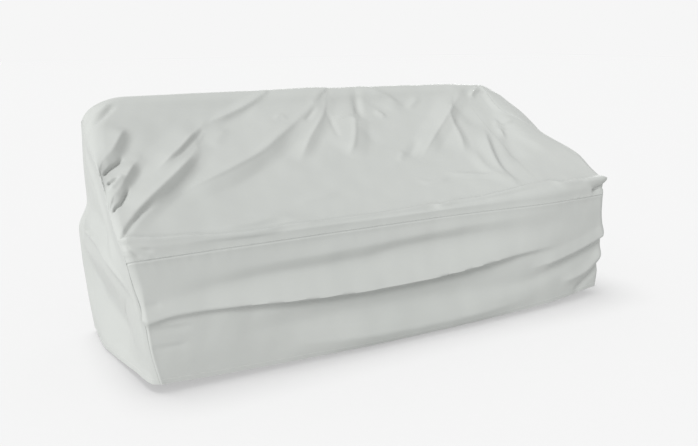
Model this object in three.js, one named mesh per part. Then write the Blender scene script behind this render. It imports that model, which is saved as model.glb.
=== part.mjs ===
// A fitted outdoor sofa cover: five panels of coated cloth, hollow inside, with its folds.
// Millimetres. X runs across the sofa, Y from the front to the back, Z up.
// The tables use the floor, the front face and the middle of the sofa as zero. The finished group is moved so
// that its origin is the point under the ridge that rests on the sofa's back.
import * as THREE from "three";

const CLOTH_THICKNESS = 2;
const SEAM_SHIFT = 0.24; // each panel's edge is drawn back this far, so that two edges stand 0.3 mm apart
const CORNER_SHIFT = 1.5; // the same where three panels meet
const MIDDLE_COLUMNS = 54;
const SHOULDER_COLUMNS = 4;
const SKIRT_ROWS = 10; // of the front, the back and both sides
const TOP_ROWS = 33;
const SAG_POWER = 2.5; // how flat the sagging middle is across
const SEAM_HOLD = 0.1; // share of a fold that is left at a side seam, which holds the cloth straight
const SEAM_HOLD_WIDTH = 0.6; // share of a shoulder over which a side seam holds it
const SEAM_RELIEF_SHARE = 0.12; // share of a side panel's height that the top's puckers reach
const FRONT_RELIEF_SHARE = 0.1; // share of its depth that the front's puckers reach
const CLOTH_COLOUR = 0xc8cac7;
const CLOTH_ROUGHNESS = 0.78;

// One row for each level of the cover, from the front hem, over the top, to the back hem. edge is the taut
// line near the two ends, and sag is how far the middle lies from it.
const SECTION_COLUMNS = ["name", "edgeY", "edgeZ", "sagY", "sagZ"];
const SECTIONS = [
  ["front hem", 0, 35, -22, -22],
  ["front low", -4, 150, -18, -8],
  ["front middle", -6, 290, -12, 0],
  ["front high", -3, 400, 0, 0],
  ["front seam", 0, 474, 0, 2],
  ["front lip", 0, 515, 0, -10],
  ["front edge", 12, 538, 3, -26],
  ["edge top", 40, 556, 6, -34],
  ["slope low", 110, 602, 12, -36],
  ["arm top", 200, 666, 18, -38],
  ["slope middle", 340, 764, 24, -44],
  ["slope high", 470, 852, 24, -38],
  ["back rise", 560, 908, 14, -16],
  ["ridge front", 598, 943, 4, -4],
  ["ridge", 630, 956, 0, 4],
  ["ridge back", 660, 943, 0, 2],
  ["back seam", 676, 890, 0, 0],
  ["back high", 686, 720, 0, 0],
  ["arm notch", 692, 560, 2, 0],
  ["back middle", 696, 440, 4, 0],
  ["back low", 698, 200, 6, 0],
  ["back hem", 700, 6, 8, 0],
].map((row) => named(SECTION_COLUMNS, row));

// Where the two side seams lie at those same levels, and how far in from the seam its round shoulder starts.
const SEAM_COLUMNS = ["name", "leftX", "leftY", "leftZ", "leftIn", "rightX", "rightY", "rightZ", "rightIn"];
const SIDE_SEAMS = [
  ["front hem", -1006, 4, 33, 30, 1078, 4, 30, 30],
  ["front low", -1031, 9, 150, 30, 1096, 10, 150, 30],
  ["front middle", -1050, 20, 290, 40, 1114, 20, 300, 35],
  ["front high", -1074, 31, 396, 45, 1102, 25, 400, 35],
  ["front seam", -1086, 32, 465, 45, 1098, 22, 482, 35],
  ["front lip", -1093, 36, 500, 45, 1102, 22, 512, 35],
  ["front edge", -1097, 51, 521, 45, 1112, 30, 530, 40],
  ["edge top", -1098, 75, 536, 45, 1114, 55, 550, 46],
  ["slope low", -1098, 114, 570, 50, 1112, 128, 597, 48],
  ["arm top", -1096, 184, 632, 55, 1090, 184, 647, 65],
  ["slope middle", -1090, 326, 738, 60, 1050, 338, 680, 126],
  ["slope high", -1083, 478, 793, 70, 1043, 454, 748, 140],
  ["back rise", -1071, 585, 835, 103, 1034, 573, 784, 160],
  ["ridge front", -1064, 620, 870, 138, 1005, 625, 836, 208],
  ["ridge", -1060, 640, 868, 170, 999, 646, 854, 220],
  ["ridge back", -1060, 660, 864, 180, 1002, 664, 856, 223],
  ["back seam", -1060, 676, 854, 140, 1004, 678, 846, 190],
  ["back high", -1063, 686, 700, 50, 1034, 686, 690, 80],
  ["arm notch", -1060, 692, 550, 35, 1060, 692, 550, 35],
  ["back middle", -1099, 696, 440, 35, 1100, 696, 440, 35],
  ["back low", -1087, 698, 200, 30, 1092, 698, 200, 30],
  ["back hem", -1066, 700, 6, 30, 1072, 700, 6, 30],
].map((row) => named(SEAM_COLUMNS, row));

// The hem of each side panel, from the front corner to the back one.
const HEM_COLUMNS = ["y", "x", "z"];
const LEFT_HEM = [
  [4, -1006, 33],
  [20, -1030, 32],
  [120, -1049, 28],
  [270, -1060, 24],
  [400, -1074, 20],
  [500, -1083, 14],
  [700, -1066, 6],
].map((row) => named(HEM_COLUMNS, row));
const RIGHT_HEM = [
  [4, 1078, 30],
  [150, 1085, 28],
  [350, 1090, 20],
  [550, 1085, 12],
  [700, 1072, 6],
].map((row) => named(HEM_COLUMNS, row));

// One row for each fold of the front, top and back. Its crest is a line of [X, girth] points, where the girth
// is the length of cloth up from the front hem. left and right are its half widths on each side of that line,
// height is how far it stands out (troughs are below zero), droop is how far it hangs for each mm of height,
// and start and end are the share of the height left at each end of the line.
const FOLD_COLUMNS = ["name", "left", "right", "height", "droop", "start", "end", "crest"];
const FOLDS = [
  ["skirt overhang", 50, 18, 34, 0.6, 0, 0,
    [[-1030, 232], [-930, 250], [-720, 248], [-490, 238], [-230, 228], [0, 226], [220, 234], [520, 250],
      [860, 256]]],
  ["skirt upper trough", 30, 45, -13, 0, 0.3, 0,
    [[-1040, 279], [-710, 317], [-230, 322], [10, 342], [420, 349], [600, 352]]],
  ["skirt hem ridge", 60, 45, 22, 0, 0, 0,
    [[-620, 70], [-490, 58], [-90, 40], [200, 36], [540, 45], [740, 75]]],
  ["skirt low trough", 45, 30, -12, 0, 0, 1,
    [[-900, 140], [-400, 140], [100, 125], [560, 116], [900, 166], [1090, 206]]],
  ["skirt right ridge", 30, 22, 10, 0, 0, 1, [[600, 165], [900, 205], [1090, 245]]],
  ["skirt right trough", 14, 20, -10, 0, 0, 1, [[900, 20], [980, 42], [1090, 110]]],
  ["edge crease", 16, 14, 6, 0, 1, 1,
    [[-1090, 503], [-940, 505], [-630, 482], [-340, 508], [-60, 486], [290, 525], [780, 531], [1100, 503]]],
  ["edge second ridge", 25, 16, 7, 0, 0, 0,
    [[-860, 520], [-700, 545], [-530, 571], [-420, 545], [-330, 515]]],
  ["corner trough", 14, 14, -9, 0, 0.8, 0, [[-1072, 1100], [-1020, 1134], [-950, 1195]]],
  ["corner ridge", 16, 20, 7, 0, 0.5, 0, [[-1075, 1075], [-1010, 1105], [-940, 1165]]],
  ["deep trough", 18, 24, -28, 0, 0.8, 0,
    [[-1085, 835], [-1030, 895], [-990, 950], [-955, 1020], [-940, 1080]]],
  ["deep trough bank", 30, 22, 14, 0, 0.4, 0, [[-1085, 890], [-1040, 950], [-995, 1010], [-975, 1070]]],
  ["second ridge", 28, 20, 20, 0, 0.5, 0, [[-1085, 700], [-1040, 755], [-1000, 825], [-965, 900]]],
  ["second trough", 18, 28, -22, 0, 1, 0,
    [[-1088, 655], [-1045, 705], [-990, 780], [-945, 870], [-935, 915]]],
  ["great ridge", 60, 26, 34, 0, 0.3, 0,
    [[-1090, 545], [-1045, 600], [-980, 685], [-860, 800], [-760, 905], [-700, 985]]],
  ["great trough", 30, 55, -16, 0, 0.2, 0,
    [[-1070, 550], [-990, 640], [-850, 735], [-730, 850], [-665, 970]]],
  ["thin ridge", 45, 18, 17, 0, 0, 0.6,
    [[-860, 900], [-770, 965], [-660, 1075], [-580, 1112], [-490, 1150], [-310, 1240]]],
  ["broad ridge", 110, 45, 20, 0, 0, 0.2,
    [[-950, 650], [-750, 735], [-520, 865], [-300, 1010], [-100, 1150]]],
  ["broad trough", 40, 70, -8, 0, 0, 0, [[-800, 650], [-500, 790], [-270, 930], [-100, 1070]]],
  ["star ridge", 45, 22, 14, 0, 0, 0.5, [[-340, 830], [-220, 930], [-100, 1060], [-60, 1130]]],
  ["star trough", 18, 18, -9, 0, 0.7, 0, [[-55, 1125], [-45, 1040], [-65, 930]]],
  ["star panel", 24, 28, 12, 0, 0.8, 0, [[-5, 1090], [-45, 980], [-120, 860]]],
  ["star streak", 26, 18, 10, 0, 0.5, 0, [[160, 1235], [250, 1185], [360, 1125]]],
  ["fan ridge one", 60, 24, 16, 0, 0, 0.4,
    [[240, 780], [400, 900], [530, 1010], [600, 1090], [590, 1185]]],
  ["fan ridge two", 26, 30, 12, 0, 0.6, 0,
    [[585, 1110], [565, 980], [535, 860], [520, 760], [540, 640]]],
  ["fan trough one", 40, 30, -10, 0, 0.3, 0, [[660, 1130], [660, 1000], [640, 880], [600, 760]]],
  ["fan ridge three", 30, 30, 12, 0, 0.4, 0,
    [[800, 1200], [780, 1050], [730, 880], [660, 740], [600, 640]]],
  ["fan trough two", 30, 50, -14, 0, 0.5, 0,
    [[845, 1190], [850, 1060], [825, 920], [760, 790], [660, 640]]],
  ["fan ridge four", 50, 22, 12, 0, 0.3, 0, [[885, 1140], [890, 1000], [900, 880], [960, 760]]],
].map((row) => named(FOLD_COLUMNS, row));

// The folds of the two side panels. Their crests are lines of [Y, Z] points.
const LEFT_FOLDS = [
  ["seam roll", 30, 30, 12, 0, 0.3, 0.2,
    [[610, 835], [520, 765], [380, 700], [250, 600], [170, 520], [110, 440]]],
  ["arm ridge", 90, 40, 20, 0, 0.2, 0.1, [[690, 520], [390, 482], [240, 466], [140, 430], [60, 385]]],
  ["arm crease", 100, 120, -30, 0, 0.3, 0.2,
    [[700, 412], [643, 310], [561, 245], [442, 200], [235, 152], [133, 127], [59, 113]]],
].map((row) => named(FOLD_COLUMNS, row));
const RIGHT_FOLDS = [
  ["seam roll", 35, 35, 16, 0, 0.4, 0.2,
    [[640, 810], [550, 745], [430, 690], [300, 640], [180, 590], [90, 500]]],
].map((row) => named(FOLD_COLUMNS, row));

/** Turns one row of a table into an object whose keys are the table's columns. */
function named(columns, row) {
  return Object.fromEntries(columns.map((column, index) => [column, row[index]]));
}

/** A smooth curve through knots that never overshoots them (monotone cubic). */
function smoothCurve(knots, values) {
  const last = knots.length - 1;
  const slopes = [];
  for (let i = 0; i < last; i++) slopes.push((values[i + 1] - values[i]) / (knots[i + 1] - knots[i]));
  const tangents = [slopes[0]];
  for (let i = 1; i < last; i++) {
    const before = slopes[i - 1];
    const after = slopes[i];
    if (before * after <= 0) {
      tangents.push(0);
      continue;
    }
    const stepBefore = knots[i] - knots[i - 1];
    const stepAfter = knots[i + 1] - knots[i];
    const weightBefore = 2 * stepAfter + stepBefore;
    const weightAfter = stepAfter + 2 * stepBefore;
    tangents.push((weightBefore + weightAfter) / (weightBefore / before + weightAfter / after));
  }
  tangents.push(slopes[last - 1]);
  return (at) => {
    let i = 0;
    while (i < last - 1 && at >= knots[i + 1]) i++;
    const step = knots[i + 1] - knots[i];
    const t = (at - knots[i]) / step;
    const rest = 1 - t;
    return (
      (1 + 2 * t) * rest * rest * values[i] +
      t * rest * rest * step * tangents[i] +
      t * t * (3 - 2 * t) * values[i + 1] +
      t * t * (t - 1) * step * tangents[i + 1]
    );
  };
}

/** The running length of a line of points, starting at zero. */
function runningLength(points) {
  const lengths = [0];
  for (let i = 1; i < points.length; i++) lengths.push(lengths[i - 1] + points[i].distanceTo(points[i - 1]));
  return lengths;
}

const LEVEL_GIRTHS = runningLength(SECTIONS.map((level) => new THREE.Vector3(0, level.edgeY, level.edgeZ)));
const level = {};
for (const column of SECTION_COLUMNS.slice(1)) {
  level[column] = smoothCurve(LEVEL_GIRTHS, SECTIONS.map((row) => row[column]));
}
for (const column of SEAM_COLUMNS.slice(1)) {
  level[column] = smoothCurve(LEVEL_GIRTHS, SIDE_SEAMS.map((row) => row[column]));
}

/** The girth at which a named level lies. */
function girthOf(name) {
  return LEVEL_GIRTHS[SECTIONS.findIndex((row) => row.name === name)];
}

/**
 * A point of the smooth cover. across runs from -1 at the left seam, by 0 and 1 at the insides of the two
 * shoulders, to 2 at the right seam.
 */
function bodyPoint(girth, across) {
  const edgeY = level.edgeY(girth);
  const edgeZ = level.edgeZ(girth);
  const leftInside = level.leftX(girth) + level.leftIn(girth);
  const rightInside = level.rightX(girth) - level.rightIn(girth);
  if (across < 0) {
    const turn = (-across * Math.PI) / 2;
    const drop = 1 - Math.cos(turn);
    return new THREE.Vector3(
      leftInside - level.leftIn(girth) * Math.sin(turn),
      edgeY + (level.leftY(girth) - edgeY) * drop,
      edgeZ + (level.leftZ(girth) - edgeZ) * drop,
    );
  }
  if (across > 1) {
    const turn = ((across - 1) * Math.PI) / 2;
    const drop = 1 - Math.cos(turn);
    return new THREE.Vector3(
      rightInside + level.rightIn(girth) * Math.sin(turn),
      edgeY + (level.rightY(girth) - edgeY) * drop,
      edgeZ + (level.rightZ(girth) - edgeZ) * drop,
    );
  }
  const sag = 1 - Math.abs(2 * across - 1) ** SAG_POWER;
  return new THREE.Vector3(
    leftInside + (rightInside - leftInside) * across,
    edgeY + level.sagY(girth) * sag,
    edgeZ + level.sagZ(girth) * sag,
  );
}

/** Evenly spaced numbers from first to last, with both of them. */
function spaced(first, last, steps) {
  return Array.from({ length: steps + 1 }, (_, i) => first + ((last - first) * i) / steps);
}

/** Eases from 0 to 1. */
function ease(share) {
  const t = THREE.MathUtils.clamp(share, 0, 1);
  return t * t * (3 - 2 * t);
}

const EDGE_RISE = 16; // how steeply a side panel's own folds rise from nothing at its edges
const FADE_SHARE = 0.35; // share of a fold's length over which each end dies away
const CREST_POINTS = 32;

/** Prepares a fold: a smooth crest line, with the length run at each of its points. */
function prepareFold(fold) {
  const knots = fold.crest.map(([x, y]) => new THREE.Vector3(x, y, 0));
  const crest = new THREE.CatmullRomCurve3(knots, false, "centripetal").getPoints(CREST_POINTS);
  return { ...fold, crest, run: runningLength(crest) };
}

/** How far one fold stands out at a place on the cloth. */
function foldHeight(fold, place) {
  let nearest = Infinity;
  let along = 0;
  let side = 1;
  for (let i = 1; i < fold.crest.length; i++) {
    const from = fold.crest[i - 1];
    const step = fold.crest[i].clone().sub(from);
    const offset = place.clone().sub(from);
    const share = THREE.MathUtils.clamp(offset.dot(step) / step.lengthSq(), 0, 1);
    const distance = offset.distanceTo(step.clone().multiplyScalar(share));
    if (distance >= nearest) continue;
    nearest = distance;
    along = THREE.MathUtils.lerp(fold.run[i - 1], fold.run[i], share) / fold.run.at(-1);
    side = Math.sign(step.x * offset.y - step.y * offset.x);
  }
  const width = side > 0 ? fold.left : fold.right;
  const startShare = THREE.MathUtils.lerp(fold.start, 1, ease(along / FADE_SHARE));
  const endShare = THREE.MathUtils.lerp(fold.end, 1, ease((1 - along) / FADE_SHARE));
  return fold.height * startShare * endShare * Math.exp(-((nearest / width) ** 2));
}

/** The share of a fold's height that is left near a side seam. */
function seamShare(across) {
  const inFromSeam = Math.min(1 + across, 2 - across);
  return THREE.MathUtils.lerp(SEAM_HOLD, 1, ease(inFromSeam / SEAM_HOLD_WIDTH));
}

/** Adds folds to a grid of points, along its outward normals. places holds each point's place on the flat. */
function foldGrid(grid, places, acrossValues, folds) {
  const normals = gridNormals(grid);
  return grid.map((row, i) =>
    row.map((point, j) => {
      let height = 0;
      let droop = 0;
      for (const fold of folds) {
        const stands = foldHeight(fold, places[i][j]) * seamShare(acrossValues[j]);
        height += stands;
        droop += Math.max(stands, 0) * fold.droop;
      }
      const folded = point.clone().addScaledVector(normals[i][j], height);
      folded.z -= droop;
      return folded;
    }),
  );
}

/** The normals of a grid of points, on the side from which its rows run up and its columns run right. */
function gridNormals(grid) {
  const rows = grid.length - 1;
  const columns = grid[0].length - 1;
  return grid.map((row, i) =>
    row.map((_, j) => {
      const right = grid[i][Math.min(j + 1, columns)].clone().sub(grid[i][Math.max(j - 1, 0)]);
      const up = grid[Math.min(i + 1, rows)][j].clone().sub(grid[Math.max(i - 1, 0)][j]);
      return right.cross(up).normalize();
    }),
  );
}

/** The front, top and back panels as grids of points, smooth and folded. They share their seams' points. */
function wrapGrids() {
  const acrossValues = [
    ...spaced(-1, 0, SHOULDER_COLUMNS).slice(0, -1),
    ...spaced(0, 1, MIDDLE_COLUMNS),
    ...spaced(1, 2, SHOULDER_COLUMNS).slice(1),
  ];
  const girths = [
    ...spaced(0, girthOf("front seam"), SKIRT_ROWS).slice(0, -1),
    ...spaced(girthOf("front seam"), girthOf("back seam"), TOP_ROWS),
    ...spaced(girthOf("back seam"), girthOf("back hem"), SKIRT_ROWS).slice(1),
  ];
  const smooth = girths.map((girth) => acrossValues.map((across) => bodyPoint(girth, across)));
  const places = smooth.map((row, i) => row.map((point) => new THREE.Vector3(point.x, girths[i], 0)));
  const folded = foldGrid(smooth, places, acrossValues, FOLDS.map(prepareFold));
  const split = (grid) => ({
    front: grid.slice(0, SKIRT_ROWS + 1),
    top: grid.slice(SKIRT_ROWS, SKIRT_ROWS + TOP_ROWS + 1),
    back: grid.slice(SKIRT_ROWS + TOP_ROWS),
  });
  return { smooth: split(smooth), folded: split(folded) };
}

/** Where the hem of a side panel lies under each point of its top seam. */
function sideHem(hem, topSeam, lengths) {
  const xAt = smoothCurve(hem.map((row) => row.y), hem.map((row) => row.x));
  const zAt = smoothCurve(hem.map((row) => row.y), hem.map((row) => row.z));
  const first = hem[0].y;
  const last = hem.at(-1).y;
  let furthest = first;
  const blended = topSeam.map((point, i) => {
    furthest = Math.max(furthest, THREE.MathUtils.clamp(point.y, first, last));
    return (furthest + THREE.MathUtils.lerp(first, last, lengths[i] / lengths.at(-1))) / 2;
  });
  return blended.map((value) => {
    const share = (value - blended[0]) / (blended.at(-1) - blended[0]);
    const y = THREE.MathUtils.lerp(first, last, share);
    return new THREE.Vector3(xAt(y), y, zAt(y));
  });
}

/** A side panel: a patch stretched between the ends of the other three panels and its own hem. */
function sideGrid(wraps, column, hem, folds, outward) {
  const ends = (grids) => ({
    front: grids.front.map((row) => row.at(column)),
    top: grids.top.map((row) => row.at(column)),
    back: grids.back.map((row) => row.at(column)).reverse(),
  });
  const smooth = ends(wraps.smooth);
  const folded = ends(wraps.folded);
  const lengths = runningLength(smooth.top);
  const bottom = sideHem(hem, smooth.top, lengths);
  bottom[0] = smooth.front[0];
  bottom[bottom.length - 1] = smooth.back[0];

  const patch = smooth.front.map((front, i) => {
    const up = i / SKIRT_ROWS;
    return smooth.top.map((top, j) => {
      const along = lengths[j] / lengths.at(-1);
      const ruled = bottom[j].clone().lerp(top, up).add(front.clone().lerp(smooth.back[i], along));
      const low = bottom[0].clone().lerp(bottom.at(-1), along);
      const high = smooth.top[0].clone().lerp(smooth.top.at(-1), along);
      return ruled.sub(low.lerp(high, up));
    });
  });
  const places = patch.map((row) => row.map((point) => new THREE.Vector3(point.y, point.z, 0)));
  const preparedFolds = folds.map(prepareFold);
  const cornerRelief = folded.top[0].clone().sub(smooth.top[0]);
  return patch.map((row, i) =>
    row.map((point, j) => {
      const up = i / SKIRT_ROWS;
      const along = lengths[j] / lengths.at(-1);
      if (j === row.length - 1) return folded.back[i].clone();
      const inside = Math.min(1, EDGE_RISE * up * (1 - up)) * Math.min(1, EDGE_RISE * along * (1 - along));
      const height = preparedFolds.reduce((sum, fold) => sum + foldHeight(fold, places[i][j]), 0);
      const fromTop = Math.exp(-(((1 - up) / SEAM_RELIEF_SHARE) ** 2));
      const fromFront = Math.exp(-((along / FRONT_RELIEF_SHARE) ** 2));
      const topRelief = folded.top[j].clone().sub(smooth.top[j]);
      const frontRelief = folded.front[i].clone().sub(smooth.front[i]);
      return point
        .clone()
        .addScaledVector(outward, height * inside)
        .addScaledVector(topRelief, fromTop)
        .addScaledVector(frontRelief, fromFront)
        .addScaledVector(cornerRelief, -fromTop * fromFront);
    }),
  );
}

/** A name for a point, the same for every panel that holds it. */
function pointKey(point) {
  return point.toArray().map((value) => value.toFixed(3)).join(",");
}

/** Adds up each face's normals at the points that it touches, over all the panels. */
function sharedNormals(panels) {
  const faceNormals = new Map();
  for (const { grid } of Object.values(panels)) {
    for (let i = 1; i < grid.length; i++) {
      for (let j = 1; j < grid[0].length; j++) {
        const corners = [grid[i - 1][j - 1], grid[i - 1][j], grid[i][j], grid[i][j - 1]];
        const diagonal = corners[2].clone().sub(corners[0]);
        const normal = diagonal.cross(corners[3].clone().sub(corners[1])).normalize();
        for (const corner of corners) {
          const key = pointKey(corner);
          if (!faceNormals.has(key)) faceNormals.set(key, []);
          faceNormals.get(key).push(normal);
        }
      }
    }
  }
  return faceNormals;
}

const LARGEST_MITRE = 1.6; // how much longer than the thickness the offset at a corner may be
const LEAST_COSINE = 0.1; // keeps that offset finite where faces fold back on each other

/** The way from the outer face to the inner face, long enough to keep the thickness round corners. */
function inwardOffset(normals) {
  const mean = normals.reduce((sum, normal) => sum.add(normal), new THREE.Vector3()).normalize();
  const cosine = Math.min(...normals.map((normal) => normal.dot(mean)));
  return mean.multiplyScalar(-CLOTH_THICKNESS * Math.min(LARGEST_MITRE, 1 / Math.max(cosine, LEAST_COSINE)));
}

/** The way from a seam into its panel, square to the seam. before and after are the points on each side. */
function awayFromSeam(point, inside, before, after, distance) {
  const seam = after.clone().sub(before).normalize();
  const inward = inside.clone().sub(point);
  return inward.addScaledVector(seam, -inward.dot(seam)).setLength(distance);
}

/** How far a point on a panel's edge is drawn back from the seam. */
function edgeShift(grid, i, j) {
  const rows = grid.length - 1;
  const columns = grid[0].length - 1;
  const below = grid[Math.max(i - 1, 0)][j];
  const above = grid[Math.min(i + 1, rows)][j];
  const left = grid[i][Math.max(j - 1, 0)];
  const right = grid[i][Math.min(j + 1, columns)];
  const atCorner = (i === 0 || i === rows) && (j === 0 || j === columns);
  const distance = atCorner ? CORNER_SHIFT : SEAM_SHIFT;
  const shift = new THREE.Vector3();
  if (i === 0) shift.add(awayFromSeam(grid[i][j], above, left, right, distance));
  if (i === rows) shift.add(awayFromSeam(grid[i][j], below, left, right, distance));
  if (j === 0) shift.add(awayFromSeam(grid[i][j], right, below, above, distance));
  if (j === columns) shift.add(awayFromSeam(grid[i][j], left, below, above, distance));
  return shift;
}

/** A closed sheet of cloth from the grid of its outer face. */
function sheetGeometry(grid, faceNormals, origin) {
  const rows = grid.length;
  const columns = grid[0].length;
  const positions = [];
  for (const inner of [false, true]) {
    grid.forEach((row, i) =>
      row.forEach((point, j) => {
        const corner = point.clone().add(edgeShift(grid, i, j)).sub(origin);
        if (inner) corner.add(inwardOffset(faceNormals.get(pointKey(point))));
        positions.push(...corner.toArray());
      }),
    );
  }
  const indices = [];
  const outer = (i, j) => i * columns + j;
  const inner = (i, j) => rows * columns + outer(i, j);
  const quad = (a, b, c, d) => indices.push(a, b, c, a, c, d);
  for (let i = 1; i < rows; i++) {
    for (let j = 1; j < columns; j++) {
      quad(outer(i - 1, j - 1), outer(i - 1, j), outer(i, j), outer(i, j - 1));
      quad(inner(i - 1, j - 1), inner(i, j - 1), inner(i, j), inner(i - 1, j));
    }
  }
  for (let j = 1; j < columns; j++) {
    quad(inner(0, j - 1), inner(0, j), outer(0, j), outer(0, j - 1));
    quad(outer(rows - 1, j - 1), outer(rows - 1, j), inner(rows - 1, j), inner(rows - 1, j - 1));
  }
  for (let i = 1; i < rows; i++) {
    quad(outer(i - 1, 0), outer(i, 0), inner(i, 0), inner(i - 1, 0));
    quad(inner(i - 1, columns - 1), inner(i, columns - 1), outer(i, columns - 1), outer(i - 1, columns - 1));
  }
  const geometry = new THREE.BufferGeometry();
  geometry.setAttribute("position", new THREE.Float32BufferAttribute(positions, 3));
  geometry.setIndex(indices);
  geometry.computeVertexNormals();
  return geometry;
}

/** The underside of the ridge at the middle of the sofa, which rests on the sofa's back. */
function restingPoint() {
  const girth = girthOf("ridge");
  const leftInside = level.leftX(girth) + level.leftIn(girth);
  const rightInside = level.rightX(girth) - level.rightIn(girth);
  const point = bodyPoint(girth, -leftInside / (rightInside - leftInside));
  const place = new THREE.Vector3(point.x, girth, 0);
  point.z += FOLDS.map(prepareFold).reduce((sum, fold) => sum + foldHeight(fold, place), 0) - CLOTH_THICKNESS;
  return point;
}

/** The whole cover. */
function sofaCover() {
  const wraps = wrapGrids();
  const mirrored = (grid) => grid.map((row) => [...row].reverse());
  const toLeft = new THREE.Vector3(-1, 0, 0);
  const toRight = new THREE.Vector3(1, 0, 0);
  const panels = {
    top_panel: { grid: wraps.folded.top },
    front_skirt: { grid: wraps.folded.front },
    back_skirt: { grid: wraps.folded.back },
    left_side: { grid: mirrored(sideGrid(wraps, 0, LEFT_HEM, LEFT_FOLDS, toLeft)) },
    right_side: { grid: sideGrid(wraps, -1, RIGHT_HEM, RIGHT_FOLDS, toRight) },
  };
  const faceNormals = sharedNormals(panels);
  const origin = restingPoint();
  const cover = new THREE.Group();
  for (const [name, { grid }] of Object.entries(panels)) {
    const finish = { color: CLOTH_COLOUR, roughness: CLOTH_ROUGHNESS, metalness: 0 };
    const cloth = new THREE.MeshStandardMaterial(finish);
    const panel = new THREE.Mesh(sheetGeometry(grid, faceNormals, origin), cloth);
    panel.name = name;
    cover.add(panel);
  }
  return cover;
}

export default sofaCover();
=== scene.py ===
"""The looks of a fitted outdoor sofa cover: five panels of coated polyester, sewn edge to edge.

Lengths in the tables are millimetres, from the floor, the front face and the middle of the sofa under the
cover. The meshes are in metres, in the part's own frame, whose origin lies under the ridge at the middle.
"""

import logging
import math
from dataclasses import dataclass, field, fields
from enum import Enum

import bpy
import numpy as np
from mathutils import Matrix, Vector


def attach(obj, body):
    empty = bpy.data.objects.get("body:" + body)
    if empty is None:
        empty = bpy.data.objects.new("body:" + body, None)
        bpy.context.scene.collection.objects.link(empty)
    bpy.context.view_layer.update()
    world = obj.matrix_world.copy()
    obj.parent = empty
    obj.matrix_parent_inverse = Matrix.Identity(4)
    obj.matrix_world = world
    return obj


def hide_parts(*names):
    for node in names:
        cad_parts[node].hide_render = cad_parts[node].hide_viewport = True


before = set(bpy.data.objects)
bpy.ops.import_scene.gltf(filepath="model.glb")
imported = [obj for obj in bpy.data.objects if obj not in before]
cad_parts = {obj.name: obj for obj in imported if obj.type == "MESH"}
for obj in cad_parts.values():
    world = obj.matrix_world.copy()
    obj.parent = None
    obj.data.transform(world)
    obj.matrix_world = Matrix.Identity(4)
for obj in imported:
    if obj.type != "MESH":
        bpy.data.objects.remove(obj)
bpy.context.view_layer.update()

LOG = logging.getLogger("sofa_cover")
BODY = "root"
MM = 0.001  # metres in a millimetre
TINY = 1e-9  # keeps a division from failing where two points of the cloth meet
FRAME_ORIGIN = np.array([0.0, 630.0, 958.5])  # where the part's origin lies in the tables' millimetres
FLOOR_HEIGHT = -FRAME_ORIGIN[2] * MM

# ----------------------------------------------------------------------------
# The shape of the sofa under the cloth
# ----------------------------------------------------------------------------


@dataclass(frozen=True)
class Level:
    """One level of the cover, from the front hem, over the top, to the back hem.

    edge is the taut line near the two ends, and sag is how far the middle lies from it. left and right are
    the ends of the round shoulders, in is a shoulder's width, and right_seam is where the right side panel
    begins: 1 is the inside of the right shoulder and 2 its end.
    """

    name: str
    edge_y: float
    edge_z: float
    sag_y: float
    sag_z: float
    left_x: float
    left_y: float
    left_z: float
    left_in: float
    right_x: float
    right_y: float
    right_z: float
    right_in: float
    right_seam: float


LEVELS = (
    Level("front hem", 0, 35, -22, -22, -1006, 4, 33, 6, 1078, 4, 30, 30, 2),
    Level("front low", -4, 150, -18, -8, -1032, 4, 150, 6, 1096, 10, 150, 30, 2),
    Level("front middle", -6, 290, -12, 0, -1049, 8, 290, 9, 1114, 20, 300, 35, 2),
    Level("front high", -3, 400, 0, 0, -1074, 22, 397, 24, 1102, 25, 400, 35, 2),
    Level("front seam", 0, 474, 0, 2, -1088, 18, 467, 24, 1098, 22, 482, 35, 2),
    Level("front lip", 0, 515, 0, -10, -1095, 22, 503, 22, 1102, 22, 512, 35, 1.7),
    Level("front edge", 12, 538, 3, -26, -1099, 35, 524, 20, 1113, 30, 530, 40, 1.5),
    Level("edge top", 40, 556, 6, -34, -1100, 58, 540, 20, 1116, 55, 550, 48, 1.29),
    Level("slope low", 110, 602, 12, -36, -1102, 97, 573, 25, 1116, 131, 596, 49, 1.14),
    Level("arm top", 200, 666, 18, -38, -1100, 167, 635, 30, 1090, 180, 647, 67, 1.55),
    Level("slope middle", 340, 764, 24, -44, -1094, 310, 741, 40, 1046, 338, 679, 130, 1.3),
    Level("arm root", 385, 796, 24, -42, -1091, 357, 757, 46, 1045, 374, 700, 134, 1.01),
    Level("slope high", 470, 852, 24, -38, -1086, 463, 795, 62, 1042, 450, 750, 142, 0.98),
    Level("back rise", 560, 908, 14, -16, -1071, 585, 835, 103, 1034, 573, 783, 160, 0.995),
    Level("ridge front", 598, 943, 4, -4, -1064, 620, 872, 138, 1005, 625, 836, 208, 1.21),
    Level("ridge", 630, 956, 0, 4, -1060, 640, 867, 173, 999, 646, 854, 220, 1.3),
    Level("ridge back", 660, 943, 0, 2, -1060, 660, 861, 190, 1002, 664, 856, 223, 1.45),
    Level("back seam", 676, 890, 0, 0, -1060, 676, 850, 140, 1004, 678, 846, 190, 2),
    Level("back high", 686, 720, 0, 0, -1063, 686, 700, 50, 1034, 686, 690, 80, 2),
    Level("arm notch", 692, 560, 2, 0, -1060, 692, 550, 35, 1060, 692, 550, 35, 2),
    Level("back middle", 696, 440, 4, 0, -1099, 696, 440, 35, 1100, 696, 440, 35, 2),
    Level("back low", 698, 200, 6, 0, -1087, 698, 200, 30, 1092, 698, 200, 30, 2),
    Level("back hem", 700, 6, 8, 0, -1068, 700, 20, 30, 1072, 700, 6, 30, 2),
)


@dataclass(frozen=True)
class HemPoint:
    """A point of a side panel's hem."""

    y: float
    x: float
    z: float


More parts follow.
